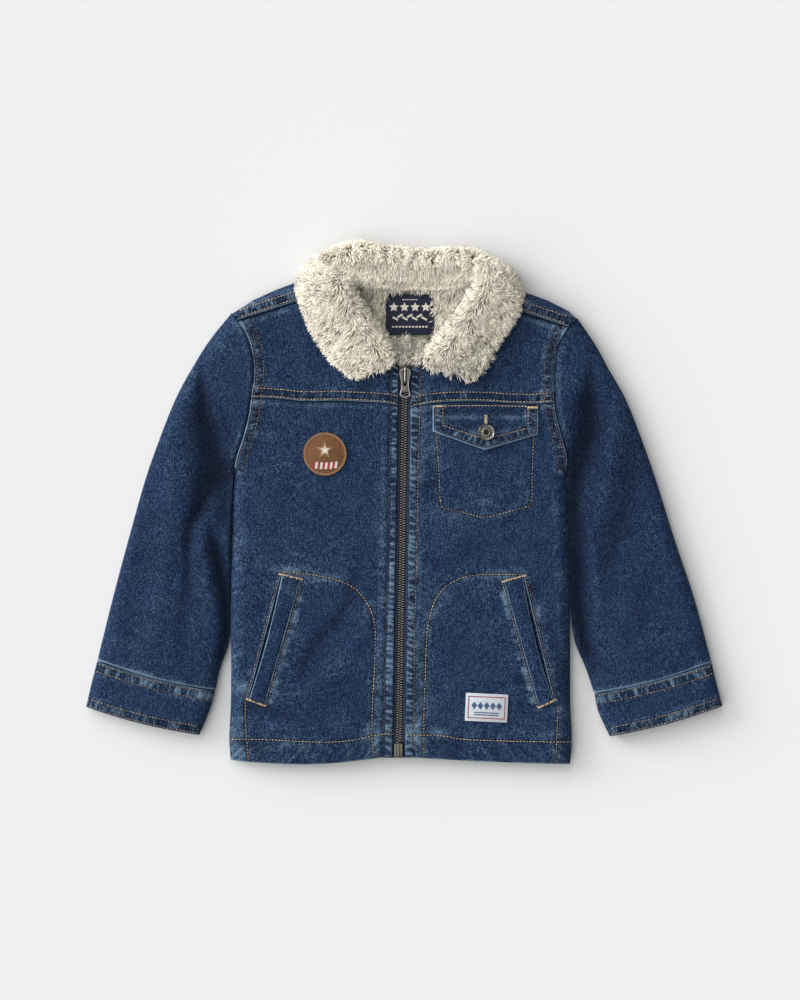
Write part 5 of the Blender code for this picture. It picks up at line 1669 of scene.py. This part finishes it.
# A flat plate with any outline, as a template for repeatPiece.
def plateShape(outline, thick, bevel=0.0):
    deselect()
    bpy.ops.mesh.primitive_circle_add(vertices=len(outline), radius=1, fill_type="NGON")
    plate = bpy.context.object
    points = np.array([(x, y, 0.0) for x, y in outline])
    plate.data.vertices.foreach_set("co", points.ravel())
    editMode()
    bpy.ops.mesh.extrude_region_move(TRANSFORM_OT_translate={"value": (0, 0, thick)})
    closeMesh()
    if bevel:
        roundEdges(plate, bevel, 2, limit_method="ANGLE")
    return takeTemplate(plate)


def barShape(width, height, thick, bevel=0.0):
    x, y = width / 2, height / 2
    return plateShape([(-x, -y), (x, -y), (x, y), (-x, y)], thick, bevel)


def starShape(outer, inner, thick, bevel=0.0):
    turns = pi / 2 + np.arange(10) * pi / 5
    spots = [((inner if k % 2 else outer) * cos(t), (inner if k % 2 else outer) * sin(t))
             for k, t in enumerate(turns)]
    return plateShape(spots, thick, bevel)


def turnsOf(count):
    return np.linspace(0, 2 * pi, count + 1)[:-1]


def ellipse(count, wide, high):
    return [(wide * cos(t), high * sin(t)) for t in turnsOf(count)]


def lay(name, shape, spots, look, node=None, headings=None):
    turns = np.zeros(len(spots)) if headings is None else np.array(headings)
    repeatPiece(name, shape, np.array(spots, float), turns, look, node)


# Cloth woven from fine threads, as labels are.
def wovenLook(name, colour, dark=0.72, scale=2200.0, roughness=0.8):
    look, tree, shader = newLook(name, colour, roughness)
    where = objectPlace(tree)
    threads = times(tree, noiseAt(tree, where, scale, (1.0, 0.2, 1.0)),
                    noiseAt(tree, where, scale, (0.2, 1.0, 1.0)))
    share = ranged(tree, threads, 0.12, 0.38)
    paint(tree, shader, blended(tree, share, tuple(dark * c for c in colour), colour), threads)
    return look


white = wovenLook("white weave", (0.49, 0.535, 0.575))
navy = wovenLook("navy weave", (0.015, 0.018, 0.038))
blueYarn = wovenLook("blue yarn", (0.055, 0.09, 0.19))
redYarn = wovenLook("red yarn", (0.3, 0.045, 0.045))
paleYarn = wovenLook("pale yarn", (0.6, 0.565, 0.49))
felt = wovenLook("brown felt", (0.17, 0.08, 0.036), dark=0.55, scale=900.0, roughness=0.95)
tanYarn = wovenLook("tan yarn", (0.26, 0.14, 0.07))


# profile: how far each step of its face goes in, and up or down
button = {
    "at": (74.0, 64.0), "low": 18.0, "radius": 7.7, "bars": (2.1, 0.9), "ring": 5.0, "heart": 2.4,
    "barHigh": 1.75, "heartHigh": 1.45,
    "profile": ((0.7, 1.2), (0.5, -0.55), (0.3, -0.1), (2.4, 0.05), (0.35, 0.45), (0.7, 0.0), (0.45, -0.9)),
}


def makeButton():
    deselect()
    bpy.ops.mesh.primitive_cylinder_add(vertices=40, radius=button["radius"], depth=1.0, location=(0, 0, 0.9))
    disc = bpy.context.object
    bpy.ops.object.transform_apply(location=True)
    bpy.ops.object.mode_set(mode="EDIT")
    bpy.ops.mesh.select_mode(type="FACE")
    bpy.ops.mesh.select_all(action="DESELECT")
    bpy.ops.object.mode_set(mode="OBJECT")
    for face in disc.data.polygons:
        face.select = face.normal.z > 0.9 and len(face.vertices) > 4
    bpy.ops.object.mode_set(mode="EDIT")
    for inset, rise in button["profile"]:
        bpy.ops.mesh.inset(thickness=inset, depth=0)
        bpy.ops.transform.translate(value=(0, 0, rise))
    closeMesh()
    roundEdges(disc, 0.15, 2, limit_method="ANGLE")
    (x, y), base = button["at"], button["low"]
    lay("flapButton", takeTemplate(disc), [(x, y, base)], worn, "flap_button")
    ring = [(x + u, y + v, base + button["barHigh"]) for u, v in ellipse(18, button["ring"], button["ring"])]
    lay("buttonBars", barShape(*button["bars"], 0.6, 0.2), ring, holeShadeAndMarks, "flap_button",
        turnsOf(18) + np.tile((0.35, -0.35), 9))
    # the heart: a dark disc of painted shade in the button's hole
    heart = plateShape(ellipse(18, button["heart"], button["heart"]), 0.3)
    lay("buttonHeart", heart, [(x, y, base + button["heartHigh"])], holeShadeAndMarks, "flap_button")


# pull and slot: half widths at distances down from the bar; eye: its distance and half sizes
slider = {
    "centre": 115.6, "top": 15.9, "thick": 2.0, "hinge": 120.7, "barHigh": 17.08, "wire": 0.85,
    "plate": ((-2.6, -8.7), (2.6, -8.7), (3.7, -7.0), (4.4, -3.0), (5.1, 2.0), (5.2, 6.6), (4.2, 8.7),
              (-4.2, 8.7), (-5.2, 6.6), (-5.1, 2.0), (-4.4, -3.0), (-3.7, -7.0)),
    "bail": ((122.4, 15.2), (122.6, 18.0), (121.8, 19.0), (119.5, 19.4), (113.0, 19.4), (110.4, 19.0),
             (109.3, 18.0), (109.0, 15.2)),
    "pull": ((-0.65, 2.6), (0.3, 4.2), (2.0, 5.1), (4.2, 5.1), (7.5, 4.3), (11.0, 3.6), (15.0, 3.4),
             (18.0, 3.7), (20.6, 4.5), (22.6, 4.8), (24.4, 3.9), (25.5, 2.0)),
    "slot": ((0.65, 1.5), (13.9, 1.5), (15.1, 0.9)), "eye": (22.1, 3.4, 1.75), "pullThick": 1.2,
    "foot": (-221.9, 10.7),
}


# A wire or a plate from a curve: loops of points in millimetres, the first the outline. flat
# gives a plate's lower and upper face and the radius of its edge.
def fromCurve(name, loops, look, node, body="zip_pull", flat=None, wire=None, closed=True):
    curve = bpy.data.curves.new(name, "CURVE")
    curve.dimensions = "2D" if flat else "3D"
    if flat:
        low, high, edge = flat
        curve.fill_mode = "BOTH"
        curve.extrude = ((high - low) / 2 - edge) * mm
        curve.offset = -edge * mm
        curve.bevel_depth, curve.bevel_resolution = edge * mm, 2
    else:
        curve.bevel_depth, curve.bevel_resolution = wire * mm, 3
        curve.use_fill_caps = True
    for loop in loops:
        spline = curve.splines.new("POLY")
        spline.points.add(len(loop) - 1)
        for point, place in zip(spline.points, loop):
            point.co = (place[0] * mm, place[1] * mm, (0.0 if flat else place[2] * mm), 1.0)
        spline.use_cyclic_u = closed
    choose(newPiece(name, curve))
    bpy.ops.object.convert(target="MESH")
    piece = bpy.context.object
    if flat:
        piece.location.z = (low + high) / 2 * mm
        bpy.ops.object.transform_apply(location=True, rotation=False, scale=False)
    closeMesh(merge=0.000002)
    giveLook(piece, look, 40)
    attach(piece, node, body)


def makeSlider():
    x, y, top = zipX(slider["centre"]), slider["centre"], slider["top"]
    low = top - slider["thick"]
    under = [(0.94 * px, 0.95 * py) for px, py in slider["plate"]]
    for name, shape, level in (("sliderPlate", plateShape(slider["plate"], slider["thick"], 0.5), low),
                               ("sliderPost", barShape(4.4, 13.4, low - 9.0), 9.1),
                               ("sliderFoot", plateShape(under, 1.4, 0.3), 8.5)):
        lay(name, shape, [(x, y, level)], pewter, "zip_slider")
    route = [(x, py, pz) for py, pz in pathOf(slider["bail"], gap=0.7)]
    fromCurve("sliderBail", [route], polished, "zip_slider", "jacket", wire=slider["wire"], closed=False)


def makePull():
    x, hinge, high = zipX(slider["hinge"]), slider["hinge"], slider["barHigh"]
    at, wide, tall = slider["eye"]

    def around(table, smooth=True):
        right = pathOf([(half, -down) for down, half in table], gap=0.8, smooth=smooth)
        return [(x + px, hinge + py) for px, py in np.concatenate([right, right[::-1] * (-1, 1)])]

    outline, half = around(slider["pull"]), slider["pullThick"] / 2
    eye = [(x + u, hinge - at + v) for u, v in ellipse(24, wide, tall)]
    fromCurve("pullPlate", [outline, around(slider["slot"], smooth=False), eye], nickel, "zip_pull",
              flat=(high - half, high + half - 0.1, 0.2))
    top = high + half - 0.15
    inset = shifted(np.array(outline + outline[:1]), -0.45)[:-1]
    fromCurve("pullRim", [[(px, py, top) for px, py in inset]], polished, "zip_pull", wire=0.32)
    ring = [(x + u, hinge - at + v, top) for u, v in ellipse(24, wide + 0.3, tall + 0.3)]
    fromCurve("pullEye", [ring], nickel, None, wire=0.3)


def makeZipFoot():
    y, low = slider["foot"]
    x = zipX(y)
    lay("zipFoot", barShape(8.3, 12.0, 3.2, 0.6), [(x, y, low)], nickel, "zip_bottom_stop")
    lay("zipFootRibs", barShape(1.5, 11.0, 0.7, 0.25), [(x + u, y, low + 3.0) for u in (-2.6, 0.0, 2.6)],
        nickel, "zip_bottom_stop")


# raise: how far the foot of each motif lies above the foot of what it lies on; over: how
# far the neck label's foot lies above the lining
labels = {
    "hem": {"at": (74.2, -183.6), "turn": -2.7, "size": (38.0, 25.2), "thick": 0.9, "raise": 0.85},
    "neck": {"at": (5.2, 170.0), "size": (43.2, 37.0), "thick": 1.0, "raise": 0.95, "over": 0.4},
    "patch": {"at": (-71.0, 44.5), "radius": 19.5, "thick": 1.4, "rim": 18.3, "raise": 1.3},
}


def makeHemLabel():
    facts = labels["hem"]
    turn, (cx, cy) = radians(facts["turn"]), facts["at"]

    def add(name, shape, spots, look, node=None, high=facts["raise"]):
        places = [(cx + u * cos(turn) - v * sin(turn), cy + u * sin(turn) + v * cos(turn),
                   cloth["seat"] + high) for u, v in spots]
        lay(name, shape, places, look, node, [turn] * len(spots))

    add("hemLabel", barShape(*facts["size"], facts["thick"], 0.3), [(0, 0)], white, "hem_label", 0)
    add("hemFrameAcross", barShape(33.0, 0.8, 0.2), [(0, 9.6), (0, -9.6)], redYarn)
    add("hemFrameAlong", barShape(0.8, 19.6, 0.2), [(-16.4, 0), (16.4, 0)], redYarn)
    diamond = plateShape([(0, -3.4), (2.6, 0), (0, 3.4), (-2.6, 0)], 0.22)
    add("hemDiamonds", diamond, [(u, 1.6) for u in (-11.2, -5.6, 0, 5.6, 11.2)], blueYarn)
    add("hemLines", barShape(22.0, 0.9, 0.2), [(0, -4.6), (0, -6.6)], blueYarn)


def makeNeckLabel():
    facts = labels["neck"]
    (cx, cy), base = facts["at"], cloth["liningTop"] + facts["over"]

    def add(name, shape, spots, headings=None):
        lay(name, shape, [(cx + u, cy + v, base + facts["raise"]) for u, v in spots], paleYarn,
            headings=headings)

    lay("neckLabel", barShape(*facts["size"], facts["thick"], 0.3), [(cx, cy, base)], navy,
        "neck_label")
    add("neckStars", starShape(4.5, 2.1, 0.22), [(u, 6.6) for u in (-14.4, -4.8, 4.8, 14.4)])
    wave = [(u, -2.4 + (1.2 if k % 2 else -1.2)) for k, u in enumerate(np.linspace(-13, 13, 7))]
    add("neckWave", barShape(5.4, 1.7, 0.22), wave, [0.5 if k % 2 else -0.5 for k in range(7)])
    add("neckDashes", barShape(1.9, 1.4, 0.2), [(u, -11.0) for u in np.linspace(-15, 15, 11)])
    add("neckDots", barShape(1.2, 0.9, 0.2), [(u, 13.4) for u in np.linspace(-6, 6, 7)])


def makePatch():
    facts = labels["patch"]
    (cx, cy), base, top = facts["at"], cloth["seat"], cloth["seat"] + facts["raise"]
    disc = plateShape(ellipse(56, facts["radius"], facts["radius"]), facts["thick"], 0.5)
    lay("chestPatch", disc, [(cx, cy, base)], felt, "chest_patch")
    rim = [(cx + u, cy + v, base + 1.2) for u, v in ellipse(104, facts["rim"], facts["rim"])]
    lay("patchRim", barShape(2.0, 0.95, 0.5), rim, tanYarn, headings=turnsOf(104) + 0.25)
    lay("patchStar", starShape(9.0, 4.0, 0.6, 0.2), [(cx, cy + 3.4, top)], tanYarn)
    lay("patchStarHeart", starShape(4.6, 2.1, 0.4), [(cx, cy + 3.4, base + 1.85)], paleYarn)
    stripe = plateShape([(-1.5, -3.0), (0.6, -3.0), (1.5, 3.0), (-0.6, 3.0)], 0.5)
    for word, look, first in (("Red", redYarn, 0), ("Pale", paleYarn, 1)):
        spots = [(cx - 9.9 + 2.2 * k, cy - 10.6 + 0.04 * (k - 4.5) ** 2, top) for k in range(first, 10, 2)]
        lay("patchStripes" + word, stripe, spots, look)


makeButton()
makeSlider()
makePull()
makeZipFoot()
makeHemLabel()
makeNeckLabel()
makePatch()
print("trims made")

places, headings, slopes, tones, scales = (np.array(part) for part in zip(*sewn))
repeatPiece("stitches", stitchShape, places, headings, makeThread(), None, scales, slopes, tones, 60)
print("stitches laid:", len(sewn))
# lamps: name, strength, and turn, rise and spread in degrees
studio = {
    "floor": 0.655, "sky": 0.2, "camera": (-0.0036, 0.00315, 4.012), "lens": 200,
    "lamps": (("broad", 4.79, 164.8, 27.5, 140.0), ("low", 3.0, 156.2, 15.7, 31.7)),
}


def makeStage():
    deselect()
    bpy.ops.mesh.primitive_plane_add(size=24)
    floor = bpy.context.object
    floor.name = "floor"
    floor.data.materials.append(newLook("paper", (studio["floor"],) * 3, 0.95, specular=0.0)[0])
    world = bpy.context.scene.world or bpy.data.worlds.new("sky")
    bpy.context.scene.world = world
    world.use_nodes = True
    sky = world.node_tree.nodes["Background"]
    sky.inputs["Color"].default_value = (1, 1, 1, 1)
    sky.inputs["Strength"].default_value = studio["sky"]
    for name, energy, turn, rise, spread in studio["lamps"]:
        turn, rise = radians(turn), radians(rise)
        towards = Vector((cos(turn) * cos(rise), sin(turn) * cos(rise), sin(rise)))
        bpy.ops.object.light_add(type="SUN", location=towards * 3)
        lamp = bpy.context.object
        lamp.name = name
        lamp.data.angle = radians(spread)
        lamp.data.energy = energy
        lamp.rotation_euler = (-towards).to_track_quat("-Z", "Y").to_euler()
    bpy.ops.object.camera_add(location=studio["camera"], rotation=(0, 0, 0))
    camera = bpy.context.object
    camera.data.lens = studio["lens"]
    camera.data.sensor_fit = "HORIZONTAL"
    camera.data.sensor_width = 36
    camera.data.clip_end = 20
    bpy.context.scene.camera = camera
    bpy.context.scene.view_settings.view_transform = "Standard"


makeStage()
print("stage made")
